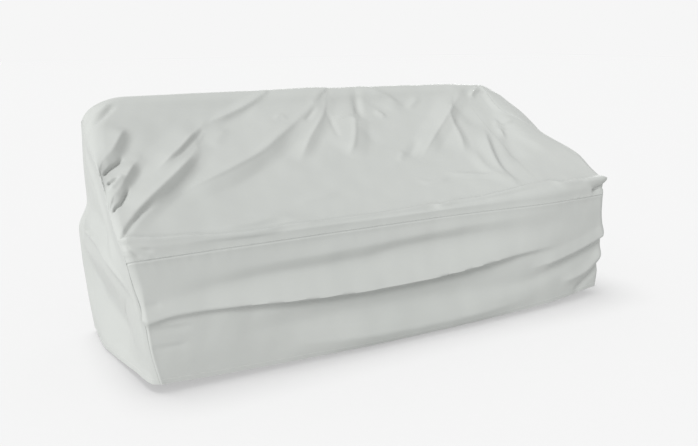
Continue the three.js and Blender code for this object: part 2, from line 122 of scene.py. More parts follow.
LEFT_HEM = (
    HemPoint(6, -1006, 33),
    HemPoint(20, -1030, 34),
    HemPoint(120, -1049, 34),
    HemPoint(270, -1060, 20),
    HemPoint(400, -1072, 12),
    HemPoint(500, -1080, 10),
    HemPoint(700, -1068, 20),
)
RIGHT_HEM = (
    HemPoint(4, 1078, 30),
    HemPoint(150, 1085, 28),
    HemPoint(350, 1090, 20),
    HemPoint(550, 1085, 12),
    HemPoint(700, 1072, 6),
)

SAG_POWER = 2.5  # how flat the sagging middle is across
LEFT_SEAM, LEFT_SHOULDER, RIGHT_SHOULDER, RIGHT_END = -1.0, 0.0, 1.0, 2.0  # the scale across the cover
SEAM_BEND = 0.9  # where, on that scale, the columns begin to follow the right seam
LEAST_SHARE = 1e-6  # keeps a division from failing where the right side panel ends at its rim


# ----------------------------------------------------------------------------
# Folds
# ----------------------------------------------------------------------------


@dataclass(frozen=True)
class Fold:
    """A ridge in the cloth, or a trough where its height is below zero.

    left and right are its half widths on each side of its crest, seen along the crest. crisp is 0 for a
    soft bell and 1 for a sharp crease between two flat flanks. start and end are the shares of the height
    left at the crest's ends. On the front, top and back the crest is a line of (x, girth) points, where
    girth is the length of cloth up from the front hem, and on a side panel it is a line of (y, z) points.
    droop is how far the cloth hangs for each millimetre of height.
    """

    name: str
    left: float
    right: float
    height: float
    crisp: float
    start: float
    end: float
    crest: tuple[tuple[float, float], ...]
    droop: float = 0.0


FRONT_FOLDS = (
    Fold("overhang", 44, 15, 35, 0.3, 0.3, 0, ((-1036, 236), (-930, 250), (-720, 248), (-490, 238),
         (-230, 228), (0, 226), (220, 234), (520, 250), (860, 256)), 0.4),
    Fold("overhang foot", 10, 18, -7, 0.3, 0.2, 0, ((-990, 222), (-820, 226), (-490, 212),
         (-230, 202), (0, 200), (220, 208), (520, 226), (760, 236))),
    Fold("upper trough", 30, 45, -11, 0, 0.3, 0, ((-1040, 279), (-710, 317), (-230, 322), (10, 342),
         (420, 349), (600, 352))),
    Fold("upper ridge", 34, 30, 7, 0.2, 0, 0, ((-950, 345), (-600, 365), (-200, 375), (300, 392),
         (900, 400))),
    Fold("hem ridge", 70, 50, 30, 0.2, 0, 0, ((-620, 70), (-490, 58), (-90, 40), (200, 36),
         (540, 45), (740, 75))),
    Fold("low trough", 40, 30, -9, 0, 0, 1, ((-900, 140), (-400, 140), (100, 125), (560, 116),
         (900, 166), (1090, 206))),
    Fold("right ridge", 30, 22, 12, 0.6, 0, 1, ((600, 165), (900, 205), (1090, 245))),
    Fold("right slit", 10, 12, -9, 0.6, 0, 1, ((700, 150), (900, 178), (1095, 224))),
    Fold("right trough", 12, 18, -10, 0.5, 0, 1, ((900, 20), (980, 42), (1090, 110))),
    Fold("right low ridge", 22, 20, 10, 0.4, 0, 0.7, ((800, 75), (980, 95), (1090, 150))),
    Fold("end turn", 330, 300, 30, 0, 1, 1, ((720, 0), (720, 440))),
    Fold("corner crease one", 8, 12, -2, 0.5, 0.6, 0, ((-1035, 290), (-990, 288))),
    Fold("corner crease two", 9, 14, -4, 0.5, 0.6, 0, ((-1030, 201), (-960, 196), (-880, 190))),
    Fold("corner crease three", 8, 12, -3, 0.5, 0.6, 0, ((-1020, 136), (-970, 133), (-900, 131))),
)

EDGE_LINE = (
    (-1082, 518), (-988, 508), (-872, 505), (-753, 497), (-653, 494), (-590, 499), (-518, 508),
    (-415, 505), (-228, 508), (-4, 513), (128, 523), (175, 510), (262, 520), (396, 513), (544, 515),
    (754, 525), (832, 505), (929, 508), (1100, 505),
)

EDGE_FOLDS = (
    Fold("edge crease", 22, 13, 10, 0.25, 1, 1, EDGE_LINE),
    Fold("edge crest", 9, 6, 3.2, 0.3, 1, 1, EDGE_LINE),
    Fold("edge upper ridge", 26, 14, 8, 0.3, 0, 0, ((-864, 530), (-738, 535), (-635, 550),
         (-538, 568), (-469, 555), (-422, 518))),
    Fold("corner pucker", 8, 8, -6, 0.5, 1, 0, ((-1088, 502), (-1049, 482), (-995, 467))),
    Fold("corner pucker low", 6, 6, -4, 0.5, 1, 0, ((-1085, 490), (-1065, 467), (-1041, 450))),
    Fold("lip ridge", 18, 8, 9, 0.6, 0, 1, ((940, 502), (1020, 500), (1104, 502))),
    Fold("lip pocket", 10, 14, -18, 0.5, 0, 1, ((1000, 462), (1057, 476), (1102, 484))),
)

LEFT_END_FOLDS = (
    Fold("corner trough one", 9, 9, -5, 0.5, 0.6, 0, ((-1066, 1196), (-1045, 1205), (-1015, 1222))),
    Fold("corner trough two", 9, 11, -9, 0.6, 0.9, 0, ((-1068, 1113), (-1046, 1118), (-1014, 1141),
         (-979, 1176), (-944, 1206))),
    Fold("corner ridge", 14, 13, 7, 0.5, 0.5, 0, ((-1065, 1150), (-1018, 1173), (-950, 1219))),
    Fold("first finger", 36, 26, 15, 0.5, 0.5, 0, ((-1062, 899), (-1019, 950), (-978, 1018),
         (-938, 1078))),
    Fold("first slit", 5, 6, -13, 0.3, 1, 0, ((-1076, 836), (-1045, 864), (-1010, 894),
         (-990, 925))),
    Fold("first valley", 22, 30, -7, 0.2, 0.8, 0, ((-1060, 850), (-1010, 894), (-983, 942),
         (-959, 990), (-939, 1038), (-925, 1078))),
    Fold("small slit", 5, 6, -11, 0.3, 1, 0, ((-1074, 781), (-1057, 789), (-1035, 808))),
    Fold("small ridge", 10, 9, 8, 0.5, 0.8, 0, ((-1072, 754), (-1050, 776), (-1020, 810))),
    Fold("second finger", 30, 20, 17, 0.5, 0.5, 0.2, ((-1068, 721), (-1035, 766), (-997, 824),
         (-959, 879), (-946, 896))),
    Fold("second slit", 5, 6, -13, 0.3, 1, 0, ((-1086, 661), (-1074, 671), (-1054, 688),
         (-1028, 731), (-1010, 765))),
    Fold("second valley", 20, 28, -8, 0.2, 0.8, 0, ((-1054, 688), (-1028, 731), (-996, 781),
         (-967, 824), (-948, 862), (-941, 889))),
    Fold("great ridge", 62, 34, 28, 0.5, 0.1, 0.15, ((-1083, 550), (-1054, 590), (-1007, 646),
         (-944, 703), (-879, 761), (-804, 832), (-742, 904), (-700, 962))),
    Fold("great slit", 6, 10, -10, 0.3, 1, 0, ((-1086, 538), (-1060, 575), (-1014, 626),
         (-976, 656), (-930, 688))),
    Fold("great valley", 14, 46, -9, 0.2, 0.5, 0.2, ((-1014, 626), (-976, 656), (-893, 708),
         (-825, 766), (-757, 839), (-705, 904), (-684, 942), (-686, 967))),
)

SLOPE_FOLDS = (
    Fold("dart ridge", 50, 18, 14, 0.7, 0, 0.2, ((-915, 806), (-843, 879), (-766, 955),
         (-694, 1030), (-637, 1085))),
    Fold("dart slit", 6, 9, -6, 0.4, 0, 0.5, ((-850, 852), (-767, 935), (-704, 1000),
         (-650, 1055))),
    Fold("thin ridge", 18, 8, 8, 0.8, 0.1, 0.5, ((-637, 1085), (-590, 1108), (-538, 1126),
         (-486, 1148), (-433, 1171), (-371, 1201), (-313, 1236))),
    Fold("thin valley", 10, 24, -4, 0.2, 0, 0, ((-616, 1068), (-530, 1100), (-433, 1142),
         (-368, 1180))),
    Fold("patch ridge", 30, 22, 4, 0.2, 0, 0, ((-644, 950), (-591, 1018), (-538, 1075))),
    Fold("broad ridge", 100, 36, 19, 0.7, 0.1, 0.45, ((-897, 693), (-793, 746), (-637, 812),
         (-455, 912), (-288, 1033), (-181, 1116), (-110, 1171))),
    Fold("broad valley", 30, 70, -5, 0.1, 0, 0.3, ((-782, 661), (-589, 751), (-406, 887),
         (-254, 1020), (-117, 1141))),
    Fold("broad nick", 6, 10, -6, 0.4, 0, 0.6, ((-190, 1080), (-150, 1112), (-117, 1141))),
    Fold("small arch", 10, 10, 4, 0.3, 0, 0, ((-325, 1100), (-287, 1116), (-265, 1090))),
    Fold("low swell one", 20, 20, 4, 0, 0, 0, ((-451, 626), (-328, 648), (-202, 666))),
    Fold("low swell two", 14, 14, 4, 0.2, 0, 0, ((152, 690), (219, 658), (329, 668))),
    Fold("low swell three", 12, 14, 6, 0.7, 0, 0.3, ((313, 698), (446, 663), (580, 626))),
)

STAR_FOLDS = (
    Fold("star ridge", 44, 28, 13, 0.8, 0, 0.4, ((-313, 849), (-202, 985), (-80, 1118),
         (-45, 1181))),
    Fold("star valley", 14, 28, -3, 0.3, 0, 0.3, ((-320, 809), (-205, 932), (-118, 1033),
         (-73, 1093), (-47, 1173))),
    Fold("star crease", 10, 10, -4, 0.7, 0.5, 0, ((-59, 1128), (-55, 1073), (-73, 960))),
    Fold("star blade", 40, 60, 14, 0.9, 0.8, 0, ((55, 1070), (13, 985), (-38, 905), (-80, 860))),
    Fold("star arch", 8, 8, 5, 0.5, 0.3, 0.3, ((-32, 1098), (1, 1098), (33, 1098), (62, 1085))),
    Fold("star dip", 16, 22, -9, 0.2, 0.3, 0.5, ((125, 1216), (114, 1163), (100, 1095))),
    Fold("star hollow", 40, 30, -3, 0, 0, 0, ((70, 1043), (90, 972), (98, 902))),
    Fold("streak ridge", 14, 34, 9, 0.6, 0.5, 0, ((188, 1238), (226, 1215), (274, 1192),
         (314, 1162), (353, 1132))),
    Fold("streak valley", 10, 18, -3, 0.4, 0.3, 0, ((151, 1193), (199, 1161), (245, 1133),
         (285, 1113))),
    Fold("streak short", 9, 18, 6, 0.7, 0, 0, ((184, 1127), (210, 1106), (229, 1076))),
    Fold("streak faint", 14, 14, 4, 0.3, 0, 0, ((464, 1188), (423, 1158), (356, 1113))),
)

FAN_FOLDS = (
    Fold("fan ridge one", 44, 30, 14, 0.8, 0, 0.4, ((241, 786), (393, 922), (512, 1018),
         (605, 1100), (692, 1176))),
    Fold("fan valley one", 20, 16, -6, 0.3, 0, 0, ((187, 809), (267, 879), (326, 932))),
    Fold("fan patch", 14, 14, 4, 0.3, 0, 0, ((137, 794), (173, 834), (205, 872))),
    Fold("fan ridge two", 22, 56, 11, 0.8, 0.6, 0, ((592, 1090), (553, 1033), (529, 902),
         (491, 786))),
    Fold("fan crease two", 34, 20, -3, 0.2, 0.4, 0, ((612, 1085), (578, 1010), (553, 897),
         (529, 789))),
    Fold("fan hollow", 50, 40, -8, 0.2, 0.2, 0, ((645, 1120), (659, 1033), (667, 940))),
    Fold("fan ridge three", 30, 30, 8, 0.2, 0, 0.2, ((552, 822), (530, 734), (538, 671), (572, 616),
         (606, 580))),
    Fold("fan top ridge", 13, 13, 9, 0.6, 0.2, 0.5, ((748, 1156), (780, 1184), (816, 1206))),
    Fold("fan crease four", 50, 110, -12, 0.6, 0.6, 0, ((828, 1203), (821, 1100), (786, 955),
         (766, 844))),
    Fold("fan ridge four", 12, 18, 8, 0.5, 0, 0, ((800, 1010), (787, 960), (771, 912), (758, 844))),
    Fold("fan ridge five", 14, 32, 12, 0.6, 0, 0.3, ((699, 950), (644, 837), (599, 696),
         (607, 595))),
    Fold("fan crease five", 26, 12, -5, 0.5, 0, 0.3, ((716, 917), (668, 804), (626, 678),
         (630, 598))),
    Fold("fan shade", 50, 40, -9, 0.1, 0, 0, ((791, 932), (755, 801), (718, 658))),
    Fold("shoulder roll", 40, 40, 10, 0.1, 0.2, 0, ((850, 1060), (853, 947), (872, 864), (913, 771),
         (1000, 706))),
)

BACK_FOLDS = (
    Fold("first hang", 46, 70, 13, 0.3, 0, 0.9, ((-900, 1400), (-880, 1700), (-850, 2000),
         (-845, 2226))),
    Fold("second hang", 60, 50, -12, 0.1, 0, 0.9, ((-640, 1380), (-650, 1700), (-690, 2000),
         (-700, 2226))),
    Fold("third hang", 70, 52, 16, 0.2, 0, 1, ((-430, 1360), (-470, 1650), (-480, 1950),
         (-460, 2226))),
    Fold("fourth hang", 60, 70, -14, 0, 0, 1, ((-160, 1420), (-190, 1700), (-230, 2000),
         (-240, 2226))),
    Fold("fifth hang", 55, 62, 14, 0.3, 0, 1, ((60, 1370), (30, 1640), (40, 1940), (70, 2226))),
    Fold("sixth hang", 66, 54, -13, 0.1, 0, 0.9, ((330, 1400), (320, 1700), (290, 2000),
         (300, 2226))),
    Fold("seventh hang", 60, 70, 15, 0.2, 0, 1, ((560, 1360), (600, 1640), (610, 1940),
         (580, 2226))),
    Fold("eighth hang", 50, 50, 11, 0.3, 0, 0.9, ((890, 1400), (870, 1700), (840, 2000),
         (850, 2226))),
    Fold("back sweep", 60, 90, 9, 0.3, 0, 0, ((-980, 1560), (-560, 1700), (-120, 1760), (360, 1720),
         (900, 1580))),
)

TOP_FOLDS = EDGE_FOLDS + LEFT_END_FOLDS + SLOPE_FOLDS + STAR_FOLDS + FAN_FOLDS
WRAP_FOLDS = FRONT_FOLDS + TOP_FOLDS + BACK_FOLDS

LEFT_FOLDS = (
    Fold("seam roll", 20, 16, 10, 0.2, 0.3, 0.2, ((610, 815), (520, 745), (380, 680), (250, 582),
         (170, 502), (110, 425))),
    Fold("roll crease", 9, 12, -6, 0.5, 0.2, 0.2, ((600, 770), (520, 700), (380, 635), (250, 536),
         (170, 456))),
    Fold("arm ridge", 130, 40, 34, 0.9, 0.2, 0.1, ((690, 520), (520, 490), (390, 482), (240, 466),
         (140, 430), (60, 385), (16, 330))),
    Fold("arm crease", 90, 140, -46, 1.0, 0.3, 0.2, ((700, 412), (643, 310), (561, 245), (442, 200),
         (235, 152), (133, 127), (59, 113))),
)
RIGHT_FOLDS = (
    Fold("seam roll", 35, 35, 12, 0.2, 0.4, 0.2, ((640, 780), (550, 715), (430, 660), (300, 610),
         (180, 560), (90, 470))),
    Fold("arm ridge", 110, 60, 26, 0.6, 0.1, 0.1, ((650, 560), (430, 500), (240, 440), (120, 380),
         (40, 300))),
    Fold("arm crease", 90, 110, -34, 0.8, 0.3, 0.2, ((690, 400), (520, 300), (330, 210), (150, 140),
         (30, 90))),
    Fold("back hang", 50, 40, 12, 0.3, 0, 0.9, ((560, 640), (540, 400), (520, 200), (530, 12))),
    Fold("front hang", 36, 50, 10, 0.3, 0, 0.9, ((130, 330), (150, 200), (160, 100), (165, 30))),
)

CREST_STEPS = 10  # straight steps between two points of a crest
FADE_SHARE = 0.35  # share of a fold's length over which each end dies away
LIP_SHARE = 0.36  # how far a crisp ridge is pinched up along its crest, as a share of its height
LIP_WIDTH = 0.2  # half widths from the crest over which it is pinched
FOLD_REACH = 3.0  # half widths past which a fold no longer counts
TENT_WIDTH = 1.6  # half widths from a crisp fold's crest to its foot
TENT_ROUNDING = 0.1  # how round a crisp fold is at its crest and foot, as a share of its flank
SEAM_HOLD = 0.3  # share of a fold that is left at a side seam, which holds the cloth straight
SEAM_HOLD_WIDTH = 0.25  # share of a shoulder over which a side seam holds it


class Edge(Enum):
    """A seam along which cloth is gathered."""

    LEFT = "left side seam"
    RIGHT = "right side seam"
    ABOVE_FRONT = "above the front seam"
    BELOW_FRONT = "below the front seam"


@dataclass(frozen=True)
class Gathers:
    """A row of small puckers that start at a seam.

    first and last are girths on a side seam and x on the front seam. reach is how far the puckers run into
    the cloth, and slant how far they lean for each millimetre of that.
    """

    name: str
    edge: Edge
    first: float
    last: float
    count: int
    reach: float
    height: float
    slant: float


GATHERS = (
    Gathers("upper left", Edge.LEFT, 930, 1090, 9, 34, 2.2, 0.5),
    Gathers("middle left", Edge.LEFT, 690, 860, 12, 22, 2.6, 0.6),
    Gathers("lower left", Edge.LEFT, 545, 660, 7, 16, 1.6, 0.6),
    Gathers("left corner", Edge.LEFT, 445, 520, 6, 26, 1.8, -0.4),
    Gathers("left of the seam", Edge.ABOVE_FRONT, -1040, -900, 9, 14, 1.3, 0.5),
    Gathers("right of the seam", Edge.ABOVE_FRONT, 880, 1080, 11, 18, 2.0, 0.7),
    Gathers("right arm", Edge.RIGHT, 610, 690, 6, 60, 1.8, 0.5),
    Gathers("below the seam", Edge.BELOW_FRONT, -1060, 1090, 60, 34, 0.7, 0.3),
)
GATHER_WIDTH = 0.32  # a pucker's half width, as a share of its pitch
GATHER_START = 3.0  # how far from the seam a pucker reaches its full height
GATHER_SHIFT = 0.25  # how far a pucker strays from its place, as a share of its pitch
GATHER_HEIGHTS = (0.4, 1.4)  # least and greatest share of the row's height
GATHER_REACHES = (0.6, 1.4)  # least and greatest share of the row's reach


@dataclass(frozen=True)
class Ripples:
    """The slight unevenness of cloth that has been folded in a bag."""

    shortest: float = 60.0
    longest: float = 260.0
    height: float = 1.1
    waves: int = 36
    seed: int = 7


# ----------------------------------------------------------------------------
# Curves and grids
# ----------------------------------------------------------------------------


def ease(share: np.ndarray) -> np.ndarray:
    """Eases from 0 to 1.

    Args:
        share: How far along the way each value is.
    Returns:
        The eased share, held between 0 and 1.
    """
    held = np.clip(share, 0, 1)
    return held * held * (3 - 2 * held)


def running_length(points: np.ndarray, axis: int = 0) -> np.ndarray:
    """Adds up the length along a line of points, or along the lines of a grid.

    Args:
        points: The points of the line, one to a row, or the grid.
        axis: The axis that the lines run along.
    Returns:
        The length run at each point, starting at zero.
    """
    steps = np.linalg.norm(np.diff(points, axis=axis), axis=-1)
    start = np.zeros_like(steps.take([0], axis=axis))
    return np.concatenate([start, np.cumsum(steps, axis=axis)], axis=axis)


class SmoothCurve:
    """A smooth curve through knots that never overshoots them (monotone cubic)."""

    def __init__(self, knots: np.ndarray, values: np.ndarray) -> None:
        """Works out the curve's slope at each knot.

        Args:
            knots: Where the values lie, rising.
            values: The value at each knot.
        """
        self.knots = np.asarray(knots, float)
        self.values = np.asarray(values, float)
        steps = np.diff(self.knots)
        slopes = np.diff(self.values) / steps
        before, after = slopes[:-1], slopes[1:]
        weight_before = 2 * steps[1:] + steps[:-1]
        weight_after = steps[1:] + 2 * steps[:-1]
        same_way = before * after > 0
        safe_before = np.where(same_way, before, 1.0)
        safe_after = np.where(same_way, after, 1.0)
        mean = (weight_before + weight_after) / (weight_before / safe_before + weight_after / safe_after)
        self.tangents = np.concatenate([slopes[:1], np.where(same_way, mean, 0.0), slopes[-1:]])

    def __call__(self, at: np.ndarray) -> np.ndarray:
        """Reads the curve.

        Args:
            at: Where to read it.
        Returns:
            Its values there.
        """
        at = np.asarray(at, float)
        i = np.clip(np.searchsorted(self.knots, at, side="right") - 1, 0, len(self.knots) - 2)
        step = self.knots[i + 1] - self.knots[i]
        t = (at - self.knots[i]) / step
        rest = 1 - t
        return (
            (1 + 2 * t) * rest * rest * self.values[i]
            + t * rest * rest * step * self.tangents[i]
            + t * t * (3 - 2 * t) * self.values[i + 1]
            + t * t * (t - 1) * step * self.tangents[i + 1]
        )


def smooth_line(points: tuple[tuple[float, float], ...]) -> np.ndarray:
    """Rounds a line of points off into a smooth one that passes through them.

    Args:
        points: The points, two or more.
    Returns:
        The smooth line's points.
    """
    knots = np.asarray(points, float)
    if len(knots) == 2:
        return knots
    padded = np.vstack([2 * knots[0] - knots[1], knots, 2 * knots[-1] - knots[-2]])
    t = np.linspace(0, 1, CREST_STEPS, endpoint=False)[:, None]
    pieces = []
    for a, b, c, d in zip(padded, padded[1:], padded[2:], padded[3:]):
        bend, twist = 2 * a - 5 * b + 4 * c - d, 3 * b - a - 3 * c + d
        pieces.append(0.5 * (2 * b + (c - a) * t + bend * t**2 + twist * t**3))
    return np.vstack([*pieces, knots[-1:]])


def grid_normals(grid: np.ndarray) -> np.ndarray:
    """Works out the normals of a grid of points.

    Args:
        grid: The points; its rows run up and its columns run right, seen from outside.
    Returns:
        The unit normal at each point, pointing out.
    """
    normals = np.cross(np.gradient(grid, axis=1), np.gradient(grid, axis=0))
    return normals / np.linalg.norm(normals, axis=-1, keepdims=True)


class CoverForm:
    """The smooth cover as the sofa holds it, before any fold."""

    def __init__(self, levels: tuple[Level, ...]) -> None:
        """Lays smooth curves through the levels.

        Args:
            levels: The levels, from the front hem to the back hem.
        """
        self.names = [level.name for level in levels]
        self.girths = running_length(np.array([(level.edge_y, level.edge_z) for level in levels]))
        self.curves = {
            column.name: SmoothCurve(self.girths, [getattr(level, column.name) for level in levels])
            for column in fields(Level)
            if column.name != "name"
        }

    def girth_of(self, name: str) -> float:
        """The girth at which a named level lies."""
        return float(self.girths[self.names.index(name)])

    def surface(self, girths: np.ndarray, across: np.ndarray) -> np.ndarray:
        """Places points on the cover.

        Args:
            girths: The girth of each row.
            across: Where each point lies across the cover, one row for each girth.
        Returns:
            The points, in millimetres.
        """
        at = {name: curve(girths)[:, None] for name, curve in self.curves.items()}
        left_inside = at["left_x"] + at["left_in"]
        right_inside = at["right_x"] - at["right_in"]
        middle = np.clip(across, LEFT_SHOULDER, RIGHT_SHOULDER)
        sag = 1 - np.abs(2 * middle - 1) ** SAG_POWER
        left_turn = np.clip(-across, 0, 1) * math.pi / 2
        right_turn = np.clip(across - RIGHT_SHOULDER, 0, 1) * math.pi / 2
        left_drop = 1 - np.cos(left_turn)
        right_drop = 1 - np.cos(right_turn)
        x = left_inside + (right_inside - left_inside) * middle
        x = x - at["left_in"] * np.sin(left_turn) + at["right_in"] * np.sin(right_turn)
        y = at["edge_y"] + at["sag_y"] * sag
        y = y + (at["left_y"] - at["edge_y"]) * left_drop + (at["right_y"] - at["edge_y"]) * right_drop
        z = at["edge_z"] + at["sag_z"] * sag
        z = z + (at["left_z"] - at["edge_z"]) * left_drop + (at["right_z"] - at["edge_z"]) * right_drop
        return np.stack([x, y, z], axis=-1)


@dataclass
class ClothMesh:
    """How finely the cloth is divided.

    A stretch is (where it ends, the step within it). The fine steps lie beside each seam.
    """

    skirt_steps: int = 66
    skirt_fine_steps: int = 15
    skirt_fine_share: float = 0.1
    top_stretches: tuple[tuple[float, float], ...] = ((540, 5.0), (640, 6.5), (900, 4.5), (1160, 7.0))
    top_last_step: float = 9.0
    seam_steps: tuple[float, ...] = (0.8, 1.8, 3.0, 4.5, 6.5, 9.0)
    shoulder_fine: tuple[float, ...] = (0.015, 0.035, 0.06, 0.09, 0.13, 0.18, 0.24)
    left_shoulder_steps: int = 12
    right_shoulder_steps: int = 20
    left_share: float = 0.2  # where the closer columns of the left end stop, on the scale across
    left_steps: int = 66
    middle_steps: int = 182

    def skirt_fractions(self) -> np.ndarray:
        """Shares of a skirt's height at which its rows lie, finer towards the seam at its top."""
        even = np.linspace(0, 1 - self.skirt_fine_share, self.skirt_steps + 1)
        turns = np.linspace(0, math.pi / 2, self.skirt_fine_steps + 1)[1:]
        return np.concatenate([even, 1 - self.skirt_fine_share * (1 - np.sin(turns))])

    def top_girths(self, first: float, last: float) -> np.ndarray:
        """Lays the rows of the top panel.

        Args:
            first: The girth of its front seam.
            last: The girth of its back seam.
        Returns:
            The girth of each row.
        """
        lower = [first + step for step in (0.0, *self.seam_steps)]
        upper = [last - step for step in (*reversed(self.seam_steps), 0.0)]
        rows = list(lower)
        for end, step in (*self.top_stretches, (upper[0], self.top_last_step)):
            count = max(1, round((end - rows[-1]) / step))
            rows.extend(np.linspace(rows[-1], end, count + 1)[1:])
        return np.array(rows + upper[1:])

    def columns(self) -> np.ndarray:
        """Lays the columns of the front, top and back, on the scale that runs across the cover."""
        fine = np.array([0.0, *self.shoulder_fine])
        left = np.linspace(LEFT_SEAM + fine[-1], LEFT_SHOULDER, self.left_shoulder_steps + 1)[1:]
        near = np.linspace(LEFT_SHOULDER, self.left_share, self.left_steps + 1)[1:]
        far = np.linspace(self.left_share, RIGHT_SHOULDER, self.middle_steps + 1)[1:]
        right = np.linspace(RIGHT_SHOULDER, RIGHT_END - fine[-1], self.right_shoulder_steps + 1)[1:]
        return np.concatenate([LEFT_SEAM + fine, left, near, far, right, RIGHT_END - fine[-2::-1]])


# ----------------------------------------------------------------------------
# Relief: how far the cloth stands out of its smooth form
# ----------------------------------------------------------------------------


def fold_relief(folds: tuple[Fold, ...], places: np.ndarray) -> tuple[np.ndarray, np.ndarray]:
    """Adds up how far a set of folds stands out.

    Args:
        folds: The folds.
        places: Each point's place on the cloth, in the plane of the folds' crests.
    Returns:
        The height at each point, and how far the cloth droops there.
    """
    flat = places.reshape(-1, 2)
    height = np.zeros(len(flat))
    droop = np.zeros(len(flat))
    for fold in folds:
        crest = smooth_line(fold.crest)
        run = running_length(crest) / running_length(crest)[-1]
        reach = FOLD_REACH * max(fold.left, fold.right)
        within = (flat > crest.min(0) - reach) & (flat < crest.max(0) + reach)
        near = np.flatnonzero(within.all(axis=1))
        points = flat[near]
        nearest = np.full(len(near), np.inf)
        side = np.ones(len(near))
        along = np.zeros(len(near))
        for i in range(len(crest) - 1):
            step = crest[i + 1] - crest[i]
            offset = points - crest[i]
            share = np.clip(offset @ step / (step @ step), 0, 1)
            distance = np.linalg.norm(offset - share[:, None] * step, axis=1)
            closer = distance < nearest
            nearest[closer] = distance[closer]
            side[closer] = np.sign(step[0] * offset[:, 1] - step[1] * offset[:, 0])[closer]
            along[closer] = (run[i] + share * (run[i + 1] - run[i]))[closer]
        reach = nearest / np.where(side > 0, fold.left, fold.right)
        flank = 1 - (np.hypot(reach / TENT_WIDTH, TENT_ROUNDING) - TENT_ROUNDING)
        tent = (flank + np.hypot(flank, TENT_ROUNDING)) / 2
        shape = (1 - fold.crisp) * np.exp(-(reach**2)) + fold.crisp * tent
        if fold.height > 0:
            shape = shape + LIP_SHARE * fold.crisp * np.exp(-((reach / LIP_WIDTH) ** 2))
        start = fold.start + (1 - fold.start) * ease(along / FADE_SHARE)
        end = fold.end + (1 - fold.end) * ease((1 - along) / FADE_SHARE)
        stands = fold.height * shape * start * end * (reach < FOLD_REACH)
        height[near] += stands
        droop[near] += np.maximum(stands, 0) * fold.droop
    return height.reshape(places.shape[:-1]), droop.reshape(places.shape[:-1])


def ripple_relief(ripples: Ripples, places: np.ndarray) -> np.ndarray:
    """Adds up waves of many lengths and directions.

    Args:
        ripples: The kind of unevenness.
        places: Each point's place on the cloth, in millimetres.
    Returns:
        The height at each point.
    """
    random = np.random.default_rng(ripples.seed)
    total = np.zeros(places.shape[:-1])
    for _ in range(ripples.waves):
        length = random.uniform(ripples.shortest, ripples.longest)
        angle = random.uniform(0, math.pi)
        phase = random.uniform(0, 2 * math.pi)
        run = places[..., 0] * math.cos(angle) + places[..., 1] * math.sin(angle)
        total += length / ripples.longest * np.sin(2 * math.pi * run / length + phase)
    return total * ripples.height / math.sqrt(ripples.waves / 2)


def gather_relief(
    gathers: Gathers, along: np.ndarray, inward: np.ndarray, random: np.random.Generator
) -> np.ndarray:
    """Raises a row of puckers.

    Args:
        gathers: The row.
        along: Each point's place along the seam.
        inward: Each point's distance from the seam.
        random: Where the puckers' unevenness is drawn from.
    Returns:
        The height at each point.
    """
    pitch = (gathers.last - gathers.first) / gathers.count
    height = np.zeros(along.shape)
    for i in range(gathers.count):
        centre = gathers.first + pitch * (i + 0.5 + random.uniform(-GATHER_SHIFT, GATHER_SHIFT))
        tall = gathers.height * random.uniform(*GATHER_HEIGHTS)
        reach = gathers.reach * random.uniform(*GATHER_REACHES)
        offset = (along - centre - gathers.slant * inward) / (GATHER_WIDTH * pitch)
        rise = 1 - np.exp(-((inward / GATHER_START) ** 2))
        height += tall * np.exp(-(offset**2)) * rise * np.exp(-((inward / reach) ** 2))
    return height


@dataclass(frozen=True)
class SeamPuff:
    """The cloth beside a seam stands a little proud of it, so that the seam lies in a narrow groove."""

    height: float = 1.7
    rise: float = 2.4
    fall: float = 13.0

    def relief(self, distance: np.ndarray) -> np.ndarray:
        """How far the cloth stands out at a distance from the seam."""
        raised = self.height * (1 - np.exp(-((distance / self.rise) ** 2)))
        return raised * np.exp(-((distance / self.fall) ** 2))


class Side(Enum):
    """The two ends of the cover, as seen from the front."""

    LEFT = "left"
    RIGHT = "right"


